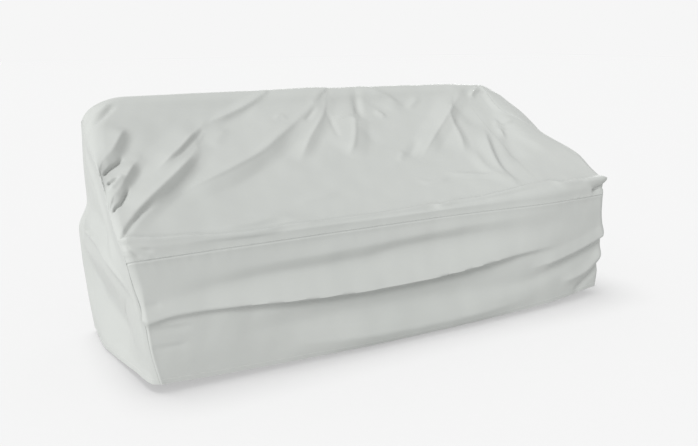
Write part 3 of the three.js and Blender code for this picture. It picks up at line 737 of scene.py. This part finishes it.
@dataclass
class Drape:
    """Lays the whole cloth over the form, fold by fold, and cuts it into the grids of its panels."""

    form: CoverForm
    mesh: ClothMesh = field(default_factory=ClothMesh)
    ripples: Ripples = field(default_factory=Ripples)
    seed: int = 11
    seam_share: float = 0.12  # share of a side panel's height that the top's folds reach
    front_share: float = 0.1  # share of a side panel's depth that the skirts' folds reach
    fade_in: float = 16.0  # how fast a side panel's own relief grows from its edges
    strip_points: int = 17  # points over which a side panel's part of the shoulder is measured

    def __post_init__(self) -> None:
        """Lays out the rows and columns, and drapes the front, top and back in one."""
        self.fractions = self.mesh.skirt_fractions()
        front_seam = self.form.girth_of("front seam")
        back_seam = self.form.girth_of("back seam")
        hem = self.form.girth_of("back hem")
        front = front_seam * self.fractions
        self.top_girths = self.mesh.top_girths(front_seam, back_seam)
        back = hem - (hem - back_seam) * self.fractions[::-1]
        self.girths = np.concatenate([front, self.top_girths[1:], back[1:]])
        self.skirt_last = len(front) - 1
        self.top_last = self.skirt_last + len(self.top_girths) - 1
        self.columns = self.mesh.columns()
        self.smooth = self.form.surface(self.girths, self._across())
        self.draped = self._drape_wrap()

    def _across(self) -> np.ndarray:
        """Where each point lies across the cover: the last columns follow the right seam."""
        seam = self.form.curves["right_seam"](self.girths)[:, None]
        beyond = (self.columns - SEAM_BEND) / (RIGHT_END - SEAM_BEND)
        followed = SEAM_BEND + beyond * (seam - SEAM_BEND)
        return np.where(self.columns > SEAM_BEND, followed, self.columns)

    def _drape_wrap(self) -> np.ndarray:
        """Stands the folds, ripples and gathers of the front, top and back out of the smooth form."""
        girths = np.broadcast_to(self.girths[:, None], self.smooth.shape[:2])
        places = np.stack([self.smooth[..., 0], girths], axis=-1)
        height, droop = fold_relief(WRAP_FOLDS, places)
        from_seam = np.minimum(self.columns - LEFT_SEAM, RIGHT_END - self.columns)
        hold = SEAM_HOLD + (1 - SEAM_HOLD) * ease(from_seam / SEAM_HOLD_WIDTH)
        height = (height + ripple_relief(self.ripples, places)) * hold
        from_left = running_length(self.smooth, axis=1)
        from_right = from_left[:, -1:] - from_left
        from_front = girths - self.form.girth_of("front seam")
        random = np.random.default_rng(self.seed)
        for gathers in GATHERS:
            along, inward = {
                Edge.LEFT: (girths, from_left),
                Edge.RIGHT: (girths, from_right),
                Edge.ABOVE_FRONT: (places[..., 0], np.maximum(from_front, 0)),
                Edge.BELOW_FRONT: (places[..., 0], np.maximum(-from_front, 0)),
            }[gathers.edge]
            height = height + gather_relief(gathers, along, inward, random)
        draped = self.smooth + grid_normals(self.smooth) * height[..., None]
        draped[..., 2] -= droop * hold
        return draped

    def front(self) -> np.ndarray:
        """The front skirt, from its hem up to the front seam."""
        return self.draped[: self.skirt_last + 1]

    def top(self) -> np.ndarray:
        """The top panel, from the front seam over to the back seam."""
        return self.draped[self.skirt_last : self.top_last + 1]

    def back(self) -> np.ndarray:
        """The back skirt, from the back seam down to its hem."""
        return self.draped[self.top_last :]

    def side(self, side: Side) -> np.ndarray:
        """Stretches a side panel between the ends of the other three panels and its own hem.

        Args:
            side: Which end of the cover.
        Returns:
            The panel's points, with rows that run up and columns that run right, seen from outside.
        """
        column = 0 if side is Side.LEFT else -1
        hem, folds = (LEFT_HEM, LEFT_FOLDS) if side is Side.LEFT else (RIGHT_HEM, RIGHT_FOLDS)
        up = self.fractions
        front = self.smooth[: self.skirt_last + 1, column]
        back = self.smooth[self.top_last :, column][::-1]
        rim = self._rim(side)
        along = running_length(rim) / running_length(rim)[-1]
        strip = self._strip_lengths(side)
        lower = self._side_hem(hem, rim, along)
        heights = np.linalg.norm(rim - lower, axis=1)
        reach = up[:, None] * (1 + strip / heights)
        patch = self._patch(front, back, rim, lower, along, np.minimum(reach, 1))
        patch = np.where((reach > 1)[..., None], self._strip(side, reach, strip / heights), patch)

        moved = self.draped[:, column] - self.smooth[:, column]
        moved_front = moved[: self.skirt_last + 1]
        moved_top = moved[self.skirt_last : self.top_last + 1]
        moved_back = moved[self.top_last :][::-1]
        near_top = np.exp(-(((1 - up) / self.seam_share) ** 2))[:, None, None]
        near_front = np.exp(-((along / self.front_share) ** 2))[None, :, None]
        near_back = np.exp(-(((1 - along) / self.front_share) ** 2))[None, :, None]
        grid = patch + moved_top[None] * near_top
        grid = grid + (moved_front[:, None] - moved_top[0] * near_top) * near_front
        grid = grid + (moved_back[:, None] - moved_top[-1] * near_top) * near_back

        normals = grid_normals(grid) * (-1 if side is Side.LEFT else 1)
        height, _ = fold_relief(folds, patch[..., 1:])
        inside_up, inside_along = (np.minimum(1, self.fade_in * at * (1 - at)) for at in (up, along))
        height = height + ripple_relief(self.ripples, patch[..., 1:])
        height = height * (inside_up[:, None] * inside_along)
        grid = grid + normals * height[..., None]
        return grid[:, ::-1] if side is Side.LEFT else grid

    def _rim(self, side: Side) -> np.ndarray:
        """The line at which a side panel's upright part ends: the outer end of the shoulder."""
        end = LEFT_SEAM if side is Side.LEFT else RIGHT_END
        return self.form.surface(self.top_girths, np.full((len(self.top_girths), 1), end))[:, 0]

    def _strip_lengths(self, side: Side) -> np.ndarray:
        """How much of the shoulder a side panel covers, at each point of its rim."""
        if side is Side.LEFT:
            return np.zeros(len(self.top_girths))
        seam = self.form.curves["right_seam"](self.top_girths)[:, None]
        across = seam + (RIGHT_END - seam) * np.linspace(0, 1, self.strip_points)
        points = self.form.surface(self.top_girths, across)
        return np.linalg.norm(np.diff(points, axis=1), axis=-1).sum(axis=1)

    def _strip(self, side: Side, reach: np.ndarray, shares: np.ndarray) -> np.ndarray:
        """The part of the right side panel that lies over the shoulder.

        Args:
            side: Which end of the cover.
            reach: How far up each point lies, where 1 is the rim.
            shares: How far past the rim the panel goes, at each point of the rim.
        Returns:
            The points on the shoulder, where reach is over 1.
        """
        if side is Side.LEFT:
            return np.zeros((*reach.shape, 3))
        seam = self.form.curves["right_seam"](self.top_girths)
        past = np.clip((reach - 1) / np.maximum(shares, LEAST_SHARE), 0, 1)
        across = RIGHT_END - past * (RIGHT_END - seam)
        return self.form.surface(self.top_girths, across.T).transpose(1, 0, 2)

    @staticmethod
    def _side_hem(hem: tuple[HemPoint, ...], rim: np.ndarray, along: np.ndarray) -> np.ndarray:
        """Where the hem of a side panel lies under each point of its rim.

        Args:
            hem: The hem's points.
            rim: The rim's points.
            along: The share of the rim's length run at each.
        Returns:
            The hem's points.
        """
        y = np.array([point.y for point in hem], float)
        furthest = np.maximum.accumulate(np.clip(rim[:, 1], y[0], y[-1]))
        blended = (furthest + y[0] + (y[-1] - y[0]) * along) / 2
        places = y[0] + (blended - blended[0]) / (blended[-1] - blended[0]) * (y[-1] - y[0])
        x_at = SmoothCurve(y, [point.x for point in hem])
        z_at = SmoothCurve(y, [point.z for point in hem])
        return np.stack([x_at(places), places, z_at(places)], axis=-1)

    def _patch(
        self,
        front: np.ndarray,
        back: np.ndarray,
        rim: np.ndarray,
        hem: np.ndarray,
        along: np.ndarray,
        up: np.ndarray,
    ) -> np.ndarray:
        """Stretches a smooth patch between four lines.

        Args:
            front: The front line, upwards.
            back: The back line, upwards.
            rim: The upper line, backwards.
            hem: The lower line, backwards.
            along: The share of the way back at each point of the rim.
            up: The share of the way up at each of the patch's points.
        Returns:
            The patch's points.
        """
        hem = hem.copy()
        hem[0], hem[-1] = front[0], back[0]
        up3, along3 = up[..., None], along[None, :, None]
        front_at = np.stack([np.interp(up, self.fractions, front[:, k]) for k in range(3)], axis=-1)
        back_at = np.stack([np.interp(up, self.fractions, back[:, k]) for k in range(3)], axis=-1)
        ruled = hem + (rim - hem) * up3 + front_at + (back_at - front_at) * along3
        low = hem[0] + (hem[-1] - hem[0]) * along3
        high = rim[0] + (rim[-1] - rim[0]) * along3
        return ruled - low - (high - low) * up3


# ----------------------------------------------------------------------------
# Finishes
# ----------------------------------------------------------------------------


def linear(colour: str) -> tuple[float, float, float, float]:
    """Turns an sRGB hex colour to linear.

    Args:
        colour: Six hex digits.
    Returns:
        Linear red, green, blue and an alpha of 1.
    """
    channels = [byte / 255 for byte in bytes.fromhex(colour)]
    turned = [c / 12.92 if c <= 0.04045 else ((c + 0.055) / 1.055) ** 2.4 for c in channels]
    return (*turned, 1.0)


def add_node(
    tree: bpy.types.NodeTree, kind: str, settings: dict | None = None, **inputs: object
) -> bpy.types.Node:
    """Adds a node to a tree.

    Args:
        tree: The node tree.
        kind: The node's type.
        settings: Values for the node's own properties.
        inputs: Values or sockets for its inputs, by name, with underscores for spaces.
    Returns:
        The node.
    """
    node = tree.nodes.new(kind)
    for name, value in (settings or {}).items():
        setattr(node, name, value)
    for name, value in inputs.items():
        socket = node.inputs[name.replace("_", " ")]
        if isinstance(value, bpy.types.NodeSocket):
            tree.links.new(value, socket)
        else:
            socket.default_value = value
    return node


def shaded_material(name: str, **inputs: object) -> bpy.types.Material:
    """Makes a material with even values on its shader.

    Args:
        name: The material's name.
        inputs: Values for the shader's inputs, by name, with underscores for spaces.
    Returns:
        The material.
    """
    material = bpy.data.materials.new(name)
    material.use_nodes = True
    shader = material.node_tree.nodes["Principled BSDF"]
    for socket, value in inputs.items():
        shader.inputs[socket.replace("_", " ")].default_value = value
    return material


def texture_scale(size: float) -> float:
    """The scale at which a noise texture has features of a size given in millimetres."""
    return 1 / (size * MM)


WAVE_TURN = 20.0  # a wave texture turns by this many radians for each unit of its scaled coordinate
COLOUR_A, COLOUR_B, COLOUR_OUT = 6, 7, 2  # where a mix node has its colours


@dataclass(frozen=True)
class CoatedPolyester:
    """Polyester woven plain, then coated with polyurethane: matt, close and slightly stiff.

    The weave is 0.5 mm in the real cloth. It is drawn at 1.6 mm, because it would not show otherwise.
    """

    name: str = "woven_coated_polyester"
    colour: str = "abaeab"
    faded: str = "b0b2af"
    roughness: float = 0.66
    specular: float = 0.32
    ior: float = 1.5
    sheen: float = 0.05
    sheen_roughness: float = 0.45
    thread_pitch: float = 1.6
    thread_relief: float = 0.05
    thread_strength: float = 0.6
    crinkle_size: float = 34.0
    crinkle_relief: float = 0.5
    crinkle_strength: float = 0.5
    crinkle_detail: float = 3.0
    mottle_size: float = 420.0
    mottle_detail: float = 4.0

    def build(self) -> bpy.types.Material:
        """Makes the material."""
        material = shaded_material(
            self.name,
            Roughness=self.roughness,
            IOR=self.ior,
            Specular_IOR_Level=self.specular,
            Sheen_Weight=self.sheen,
            Sheen_Roughness=self.sheen_roughness,
        )
        tree = material.node_tree
        shader = tree.nodes["Principled BSDF"]
        tree.links.new(self._colour(tree), shader.inputs["Base Color"])
        tree.links.new(self._relief(tree), shader.inputs["Normal"])
        return material

    def _colour(self, tree: bpy.types.NodeTree) -> bpy.types.NodeSocket:
        """Mottles the colour very slightly, as a dyed coating is."""
        place = add_node(tree, "ShaderNodeTexCoord").outputs["Object"]
        mottle = add_node(
            tree,
            "ShaderNodeTexNoise",
            Vector=place,
            Scale=texture_scale(self.mottle_size),
            Detail=self.mottle_detail,
        )
        mix = add_node(tree, "ShaderNodeMix", {"data_type": "RGBA"}, Factor=mottle.outputs["Fac"])
        mix.inputs[COLOUR_A].default_value = linear(self.colour)
        mix.inputs[COLOUR_B].default_value = linear(self.faded)
        return mix.outputs[COLOUR_OUT]

    def _relief(self, tree: bpy.types.NodeTree) -> bpy.types.NodeSocket:
        """Raises the threads, and the fine crinkles of cloth that has been folded."""
        cut = add_node(tree, "ShaderNodeUVMap", {"uv_map": CUT_MAP}).outputs["UV"]
        scale = 2 * math.pi / WAVE_TURN / (self.thread_pitch * MM)
        warp = add_node(tree, "ShaderNodeTexWave", {"bands_direction": "X"}, Vector=cut, Scale=scale)
        weft = add_node(tree, "ShaderNodeTexWave", {"bands_direction": "Y"}, Vector=cut, Scale=scale)
        threads = add_node(tree, "ShaderNodeMath", {"operation": "MULTIPLY"})
        tree.links.new(warp.outputs["Fac"], threads.inputs[0])
        tree.links.new(weft.outputs["Fac"], threads.inputs[1])
        weave = add_node(
            tree,
            "ShaderNodeBump",
            Height=threads.outputs[0],
            Distance=self.thread_relief * MM,
            Strength=self.thread_strength,
        )
        place = add_node(tree, "ShaderNodeTexCoord").outputs["Object"]
        crinkle = add_node(
            tree,
            "ShaderNodeTexNoise",
            Vector=place,
            Scale=texture_scale(self.crinkle_size),
            Detail=self.crinkle_detail,
        )
        bump = add_node(
            tree,
            "ShaderNodeBump",
            Height=crinkle.outputs["Fac"],
            Distance=self.crinkle_relief * MM,
            Strength=self.crinkle_strength,
            Normal=weave.outputs["Normal"],
        )
        return bump.outputs["Normal"]


@dataclass(frozen=True)
class PolyesterThread:
    """Bonded polyester sewing thread: round, a shade lighter than the cloth, with a low gloss."""

    name: str = "bonded_polyester_thread"
    colour: str = "c9cbc8"
    roughness: float = 0.5
    ior: float = 1.55
    twist_size: float = 0.6
    twist_relief: float = 0.05
    twist_strength: float = 0.5

    def build(self) -> bpy.types.Material:
        """Makes the material."""
        material = shaded_material(
            self.name, Base_Color=linear(self.colour), Roughness=self.roughness, IOR=self.ior
        )
        tree = material.node_tree
        place = add_node(tree, "ShaderNodeTexCoord").outputs["Object"]
        twist = add_node(tree, "ShaderNodeTexNoise", Vector=place, Scale=texture_scale(self.twist_size))
        bump = add_node(
            tree,
            "ShaderNodeBump",
            Height=twist.outputs["Fac"],
            Distance=self.twist_relief * MM,
            Strength=self.twist_strength,
        )
        tree.links.new(bump.outputs["Normal"], tree.nodes["Principled BSDF"].inputs["Normal"])
        return material


@dataclass(frozen=True)
class StudioVinyl:
    """The matt white vinyl of a studio floor."""

    name: str = "matt_white_vinyl"
    colour: str = "898989"
    roughness: float = 0.95
    specular: float = 0.0

    def build(self) -> bpy.types.Material:
        """Makes the material."""
        return shaded_material(
            self.name,
            Base_Color=linear(self.colour),
            Roughness=self.roughness,
            Specular_IOR_Level=self.specular,
        )


# ----------------------------------------------------------------------------
# Panels
# ----------------------------------------------------------------------------

CUT_MAP = "cloth_cut"
SHARP_ANGLE = math.radians(70)
ALL_EDGES = ("left", "right", "bottom", "top")


@dataclass
class Panel:
    """One cut piece of cloth, sewn to its neighbours along its edges.

    cut_width and cut_length are the sides of the flat rectangle that it is cut from. cut_area is the area of
    the cut piece in square metres, where that is much less than the rectangle's. cut_area is not used.
    """

    name: str
    node: str
    grid: np.ndarray
    cut_width: float
    cut_length: float
    seams: tuple[str, ...]
    cut_area: float | None = None
    thickness: float = 1.2
    puff: SeamPuff = field(default_factory=SeamPuff)

    def __post_init__(self) -> None:
        """Lets the cloth stand proud beside its seams."""
        distances = self._edge_distances()
        relief = sum(self.puff.relief(distances[seam]) for seam in self.seams)
        closest = np.min([distances[seam] for seam in self.seams], axis=0)
        relief = relief * (1 - np.exp(-((closest / self.puff.rise) ** 2)))
        self.grid = self.grid + grid_normals(self.grid) * relief[..., None]

    def _edge_distances(self) -> dict[str, np.ndarray]:
        """Each point's distance from the panel's four edges, along its rows and columns."""
        from_left = running_length(self.grid, axis=1)
        from_bottom = running_length(self.grid)
        return {
            "left": from_left,
            "right": from_left[:, -1:] - from_left,
            "bottom": from_bottom,
            "top": from_bottom[-1:] - from_bottom,
        }

    def build(self, material: bpy.types.Material) -> bpy.types.Object:
        """Makes the panel as a closed sheet, with its cut as a UV map, and ties it to the frame.

        Args:
            material: The cloth's finish.
        Returns:
            The panel's object.
        """
        rows, columns = self.grid.shape[:2]
        inner = self.grid - grid_normals(self.grid) * self.thickness
        points = np.concatenate([self.grid.reshape(-1, 3), inner.reshape(-1, 3)])
        outer_index = np.arange(rows * columns).reshape(rows, columns)
        inner_index = outer_index + rows * columns
        faces = [
            quads(outer_index),
            quads(inner_index)[:, ::-1],
            strip_quads(inner_index[0], outer_index[0]),
            strip_quads(outer_index[-1], inner_index[-1]),
            strip_quads(outer_index[:, 0], inner_index[:, 0]),
            strip_quads(inner_index[:, -1], outer_index[:, -1]),
        ]
        piece = mesh_object(self.name, (points - FRAME_ORIGIN) * MM, np.concatenate(faces), material)
        distances = self._edge_distances()
        cut = np.stack([distances["left"], distances["bottom"]], axis=-1).reshape(-1, 2) * MM
        lay_cut_map(piece.data, np.concatenate([cut, cut]))
        piece.data.set_sharp_from_angle(angle=SHARP_ANGLE)
        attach(piece, BODY)
        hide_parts(self.node)
        return piece

    def declare(
        self, piece: bpy.types.Object, rests_on: list[str], stitches: list[bpy.types.Object]
    ) -> None:
        """Logs what the panel was cut to, and how many faces it has.

        Args:
            piece: The panel's object.
            rests_on: The names of what it hangs from or lies on. It is not used.
            stitches: The stitching on it. It is not used.
        """
        faces = len(piece.data.polygons)
        LOG.info("%s: cut %.0f x %.0f mm, %d faces", self.name, self.cut_width, self.cut_length, faces)


def quads(index: np.ndarray) -> np.ndarray:
    """The faces between neighbouring points of a grid.

    Args:
        index: Each point's number, by row and column.
    Returns:
        The faces' corners, anticlockwise seen from outside.
    """
    corners = [index[:-1, :-1], index[:-1, 1:], index[1:, 1:], index[1:, :-1]]
    return np.stack(corners, axis=-1).reshape(-1, 4)


def strip_quads(first: np.ndarray, second: np.ndarray) -> np.ndarray:
    """The faces between two lines of points."""
    return np.stack([first[:-1], first[1:], second[1:], second[:-1]], axis=-1)


def mesh_object(
    name: str, points: np.ndarray, faces: np.ndarray, material: bpy.types.Material
) -> bpy.types.Object:
    """Makes a smooth mesh object.

    Args:
        name: Its name.
        points: Its points, in metres.
        faces: Its faces' corners.
        material: Its finish.
    Returns:
        The object.
    """
    mesh = bpy.data.meshes.new(name)
    mesh.from_pydata(points.tolist(), [], faces.tolist())
    mesh.polygons.foreach_set("use_smooth", [True] * len(mesh.polygons))
    mesh.materials.append(material)
    mesh.update()
    piece = bpy.data.objects.new(name, mesh)
    bpy.context.scene.collection.objects.link(piece)
    return piece


def lay_cut_map(mesh: bpy.types.Mesh, places: np.ndarray) -> None:
    """Writes each point's place on the flat cut cloth as a UV map.

    Args:
        mesh: The panel's mesh.
        places: The place of each of its points, in metres.
    """
    corners = np.zeros(len(mesh.loops), int)
    mesh.loops.foreach_get("vertex_index", corners)
    layer = mesh.uv_layers.new(name=CUT_MAP)
    layer.data.foreach_set("uv", places[corners].astype(np.float32).ravel())


# A stitch is a spindle of three rings. Each has its share of the stitch's length, thickness and lift.
SPINDLE_RINGS = ((0.0, 0.5, 0.0), (0.5, 1.0, 1.0), (1.0, 0.5, 0.0))
RING_CORNERS = ((1, 0), (0, 1), (-1, 0), (0, -1))
SPINDLE_POINTS = len(SPINDLE_RINGS) * len(RING_CORNERS)


@dataclass
class StitchRow:
    """A row of lockstitches beside an edge of a panel."""

    panel: Panel
    edge: str
    offset: float
    pitch: float = 4.2
    length: float = 3.3
    thread: float = 0.42
    lift: float = 0.25

    def line(self) -> tuple[np.ndarray, np.ndarray]:
        """Follows the edge at the row's offset.

        Returns:
            The line's points, and the outward normal at each.
        """
        grid = self.panel.grid
        normals = grid_normals(grid)
        if self.edge in ("left", "right"):
            grid, normals = grid.transpose(1, 0, 2), normals.transpose(1, 0, 2)
        if self.edge in ("right", "top"):
            grid, normals = grid[::-1], normals[::-1]
        run = running_length(grid)
        upper = np.clip((run < self.offset).sum(axis=0), 1, len(grid) - 1)
        columns = np.arange(grid.shape[1])
        low, high = run[upper - 1, columns], run[upper, columns]
        share = np.clip((self.offset - low) / np.maximum(high - low, TINY), 0, 1)[:, None]
        points = grid[upper - 1, columns] * (1 - share) + grid[upper, columns] * share
        outward = normals[upper - 1, columns] * (1 - share) + normals[upper, columns] * share
        return points, outward / np.linalg.norm(outward, axis=1, keepdims=True)

    def stitches(self) -> tuple[np.ndarray, np.ndarray]:
        """Makes the row's stitches as short spindles of thread.

        Returns:
            Their points in millimetres, and their faces' corners.
        """
        points, outward = self.line()
        run = running_length(points)
        starts = np.arange(self.pitch, run[-1] - 2 * self.pitch, self.pitch)
        ends = starts + self.length

        def at(values: np.ndarray, where: np.ndarray) -> np.ndarray:
            """Reads the line at given lengths."""
            return np.stack([np.interp(where, run, values[:, k]) for k in range(3)], axis=-1)

        first, last = at(points, starts), at(points, ends)
        normal = at(outward, (starts + ends) / 2)
        direction = last - first
        direction /= np.linalg.norm(direction, axis=1, keepdims=True)
        across = np.cross(direction, normal)
        across /= np.linalg.norm(across, axis=1, keepdims=True)
        normal = np.cross(across, direction)
        rings = []
        for share, size, lift in SPINDLE_RINGS:
            centre = first + (last - first) * share + normal * lift * self.lift
            for side, up in RING_CORNERS:
                rings.append(centre + (across * side + normal * up) * self.thread * size)
        corners = np.stack(rings, axis=1)
        ring = np.arange(SPINDLE_POINTS).reshape(len(SPINDLE_RINGS), len(RING_CORNERS))
        turned = np.roll(ring, -1, axis=1)
        around = np.stack([ring[:-1], turned[:-1], turned[1:], ring[1:]], axis=-1).reshape(-1, 4)
        faces = np.concatenate([around, ring[:1, ::-1], ring[-1:]])
        numbers = faces[None] + SPINDLE_POINTS * np.arange(len(starts))[:, None, None]
        return corners.reshape(-1, 3), numbers.reshape(-1, 4)


@dataclass
class Stitching:
    """The stitching that is sewn through one panel."""

    name: str
    rows: tuple[StitchRow, ...]

    def build(self, material: bpy.types.Material) -> bpy.types.Object:
        """Joins the rows into one piece.

        Args:
            material: The thread's finish.
        Returns:
            The stitching's object.
        """
        points, faces, count = [], [], 0
        for row in self.rows:
            row_points, row_faces = row.stitches()
            points.append(row_points)
            faces.append(row_faces + count)
            count += len(row_points)
        places = (np.concatenate(points) - FRAME_ORIGIN) * MM
        piece = mesh_object(self.name, places, np.concatenate(faces), material)
        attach(piece, BODY)
        LOG.info("%s: %d stitches", self.name, len(piece.data.vertices) // SPINDLE_POINTS)
        return piece


@dataclass
class SofaCover:
    """The whole cover: five panels and their stitching."""

    cloth: CoatedPolyester = field(default_factory=CoatedPolyester)
    thread: PolyesterThread = field(default_factory=PolyesterThread)
    hem_offset: float = 18.0  # the hems are turned up this far
    seam_offset: float = 6.0  # the seams are topstitched this far from their edges

    def panels(self) -> list[Panel]:
        """Cuts the draped cloth into its panels."""
        drape = Drape(CoverForm(LEVELS))
        left, right = drape.side(Side.LEFT), drape.side(Side.RIGHT)
        ends_at_seam = ("left", "right", "top")
        starts_at_seam = ("left", "right", "bottom")  # the back skirt's rows run down from its seam
        return [
            Panel("top_cloth", "top_panel", drape.top(), 2320, 960, ALL_EDGES),
            Panel("front_skirt_cloth", "front_skirt", drape.front(), 2240, 540, ends_at_seam),
            Panel("back_skirt_cloth", "back_skirt", drape.back(), 2240, 910, starts_at_seam),
            Panel("left_side_cloth", "left_side", left, 760, 900, ends_at_seam, 0.51),
            Panel("right_side_cloth", "right_side", right, 760, 1040, ends_at_seam, 0.58),
        ]

    def build(self) -> list[bpy.types.Object]:
        """Makes every panel, and sews it.

        Returns:
            Every piece made.
        """
        cloth = self.cloth.build()
        thread = self.thread.build()
        panels = self.panels()
        pieces = [panel.build(cloth) for panel in panels]
        names = [piece.name for piece in pieces]
        sewn = []
        for panel, piece in zip(panels, pieces):
            topstitched = panel.seams if panel.name == "top_cloth" else ()
            rows = [StitchRow(panel, seam, self.seam_offset) for seam in topstitched]
            free = set(ALL_EDGES) - set(panel.seams)
            rows.extend(StitchRow(panel, edge, self.hem_offset) for edge in sorted(free))
            stitching = Stitching(panel.name.replace("cloth", "stitching"), tuple(rows)).build(thread)
            rests_on = [name for name in names if name != piece.name]
            panel.declare(piece, rests_on if panel.name == "top_cloth" else ["top_cloth"], [stitching])
            sewn.append(stitching)
        return pieces + sewn


# ----------------------------------------------------------------------------
# Studio
# ----------------------------------------------------------------------------


class LitBy(Enum):
    """What a studio lamp falls on: each is flagged off from the rest."""

    CLOTH = "cloth"
    FLOOR = "floor"


@dataclass(frozen=True)
class Lamp:
    """A far soft lamp, as strong all over the set. place is the direction that it hangs in."""

    name: str
    falls_on: LitBy
    strength: float
    spread: float  # degrees across, which softens the edges of its shadows
    place: tuple[float, float, float]
    shadows: bool = True

    def build(self, lit: bpy.types.Collection) -> None:
        """Hangs the lamp.

        Args:
            lit: What it falls on.
        """
        lamp = bpy.data.lights.new(self.name, "SUN")
        lamp.energy = self.strength
        lamp.angle = math.radians(self.spread)
        lamp.use_shadow = self.shadows
        holder = bpy.data.objects.new(self.name, lamp)
        holder.rotation_euler = Vector(self.place).to_track_quat("Z", "Y").to_euler()
        holder.light_linking.receiver_collection = lit
        bpy.context.scene.collection.objects.link(holder)


LAMPS = (
    Lamp("large_softbox", LitBy.CLOTH, 2.5, 20, (-0.81, -0.36, 0.46)),
    Lamp("rim_softbox", LitBy.CLOTH, 1.5, 20, (0.6, 0.8, 0.3)),
    Lamp("floor_softbox", LitBy.FLOOR, 3.03, 34, (-0.16, 0.14, 1.0)),
    Lamp("floor_bounce", LitBy.FLOOR, 5.76, 1, (0, 0, 1), shadows=False),
)


@dataclass
class Studio:
    """A white floor in even light, large soft lamps, and the camera."""

    picture_width: float = 698.0  # pixels
    focal_pixels: float = 760.0
    sensor: float = 36.0
    camera_place: tuple[float, float, float] = (-1.67, -2.99, 0.2115)
    camera_turn: float = 30.7  # degrees to the right of straight ahead
    camera_tilt: float = 13.6  # degrees down
    floor_size: float = 80.0
    surround: str = "f6f6f6"

    def build(self, cloth: list[bpy.types.Object]) -> None:
        """Makes the floor, lights and camera.

        Args:
            cloth: The pieces of the cover.
        """
        half = self.floor_size / 2
        corners = np.array([(-half, -half, 0), (half, -half, 0), (half, half, 0), (-half, half, 0)])
        corners[:, 2] = FLOOR_HEIGHT
        floor = mesh_object("studio_floor", corners, np.array([[0, 1, 2, 3]]), StudioVinyl().build())
        self._surround()
        lit = {LitBy.CLOTH: cloth, LitBy.FLOOR: [floor]}
        groups = {kind: bpy.data.collections.new(f"lit_{kind.value}") for kind in LitBy}
        for kind, pieces in lit.items():
            for piece in pieces:
                groups[kind].objects.link(piece)
        for lamp in LAMPS:
            lamp.build(groups[lamp.falls_on])
        self._camera()

    def _surround(self) -> None:
        """Fills the room with even light."""
        world = bpy.data.worlds.new("studio_room")
        world.use_nodes = True
        world.node_tree.nodes["Background"].inputs["Color"].default_value = linear(self.surround)
        bpy.context.scene.world = world
        bpy.context.scene.view_settings.view_transform = "Standard"

    def _camera(self) -> None:
        """Places the camera."""
        camera = bpy.data.cameras.new("camera")
        camera.sensor_width = self.sensor
        camera.lens = self.focal_pixels * self.sensor / self.picture_width
        holder = bpy.data.objects.new("camera", camera)
        holder.location = self.camera_place
        holder.rotation_euler = (math.radians(90 - self.camera_tilt), 0, -math.radians(self.camera_turn))
        bpy.context.scene.collection.objects.link(holder)
        bpy.context.scene.camera = holder


def main() -> None:
    """Builds the cover and its studio."""
    logging.basicConfig(level=logging.INFO, format="%(name)s %(message)s")
    pieces = SofaCover().build()
    Studio().build(pieces)


if __name__ == "__main__":
    main()
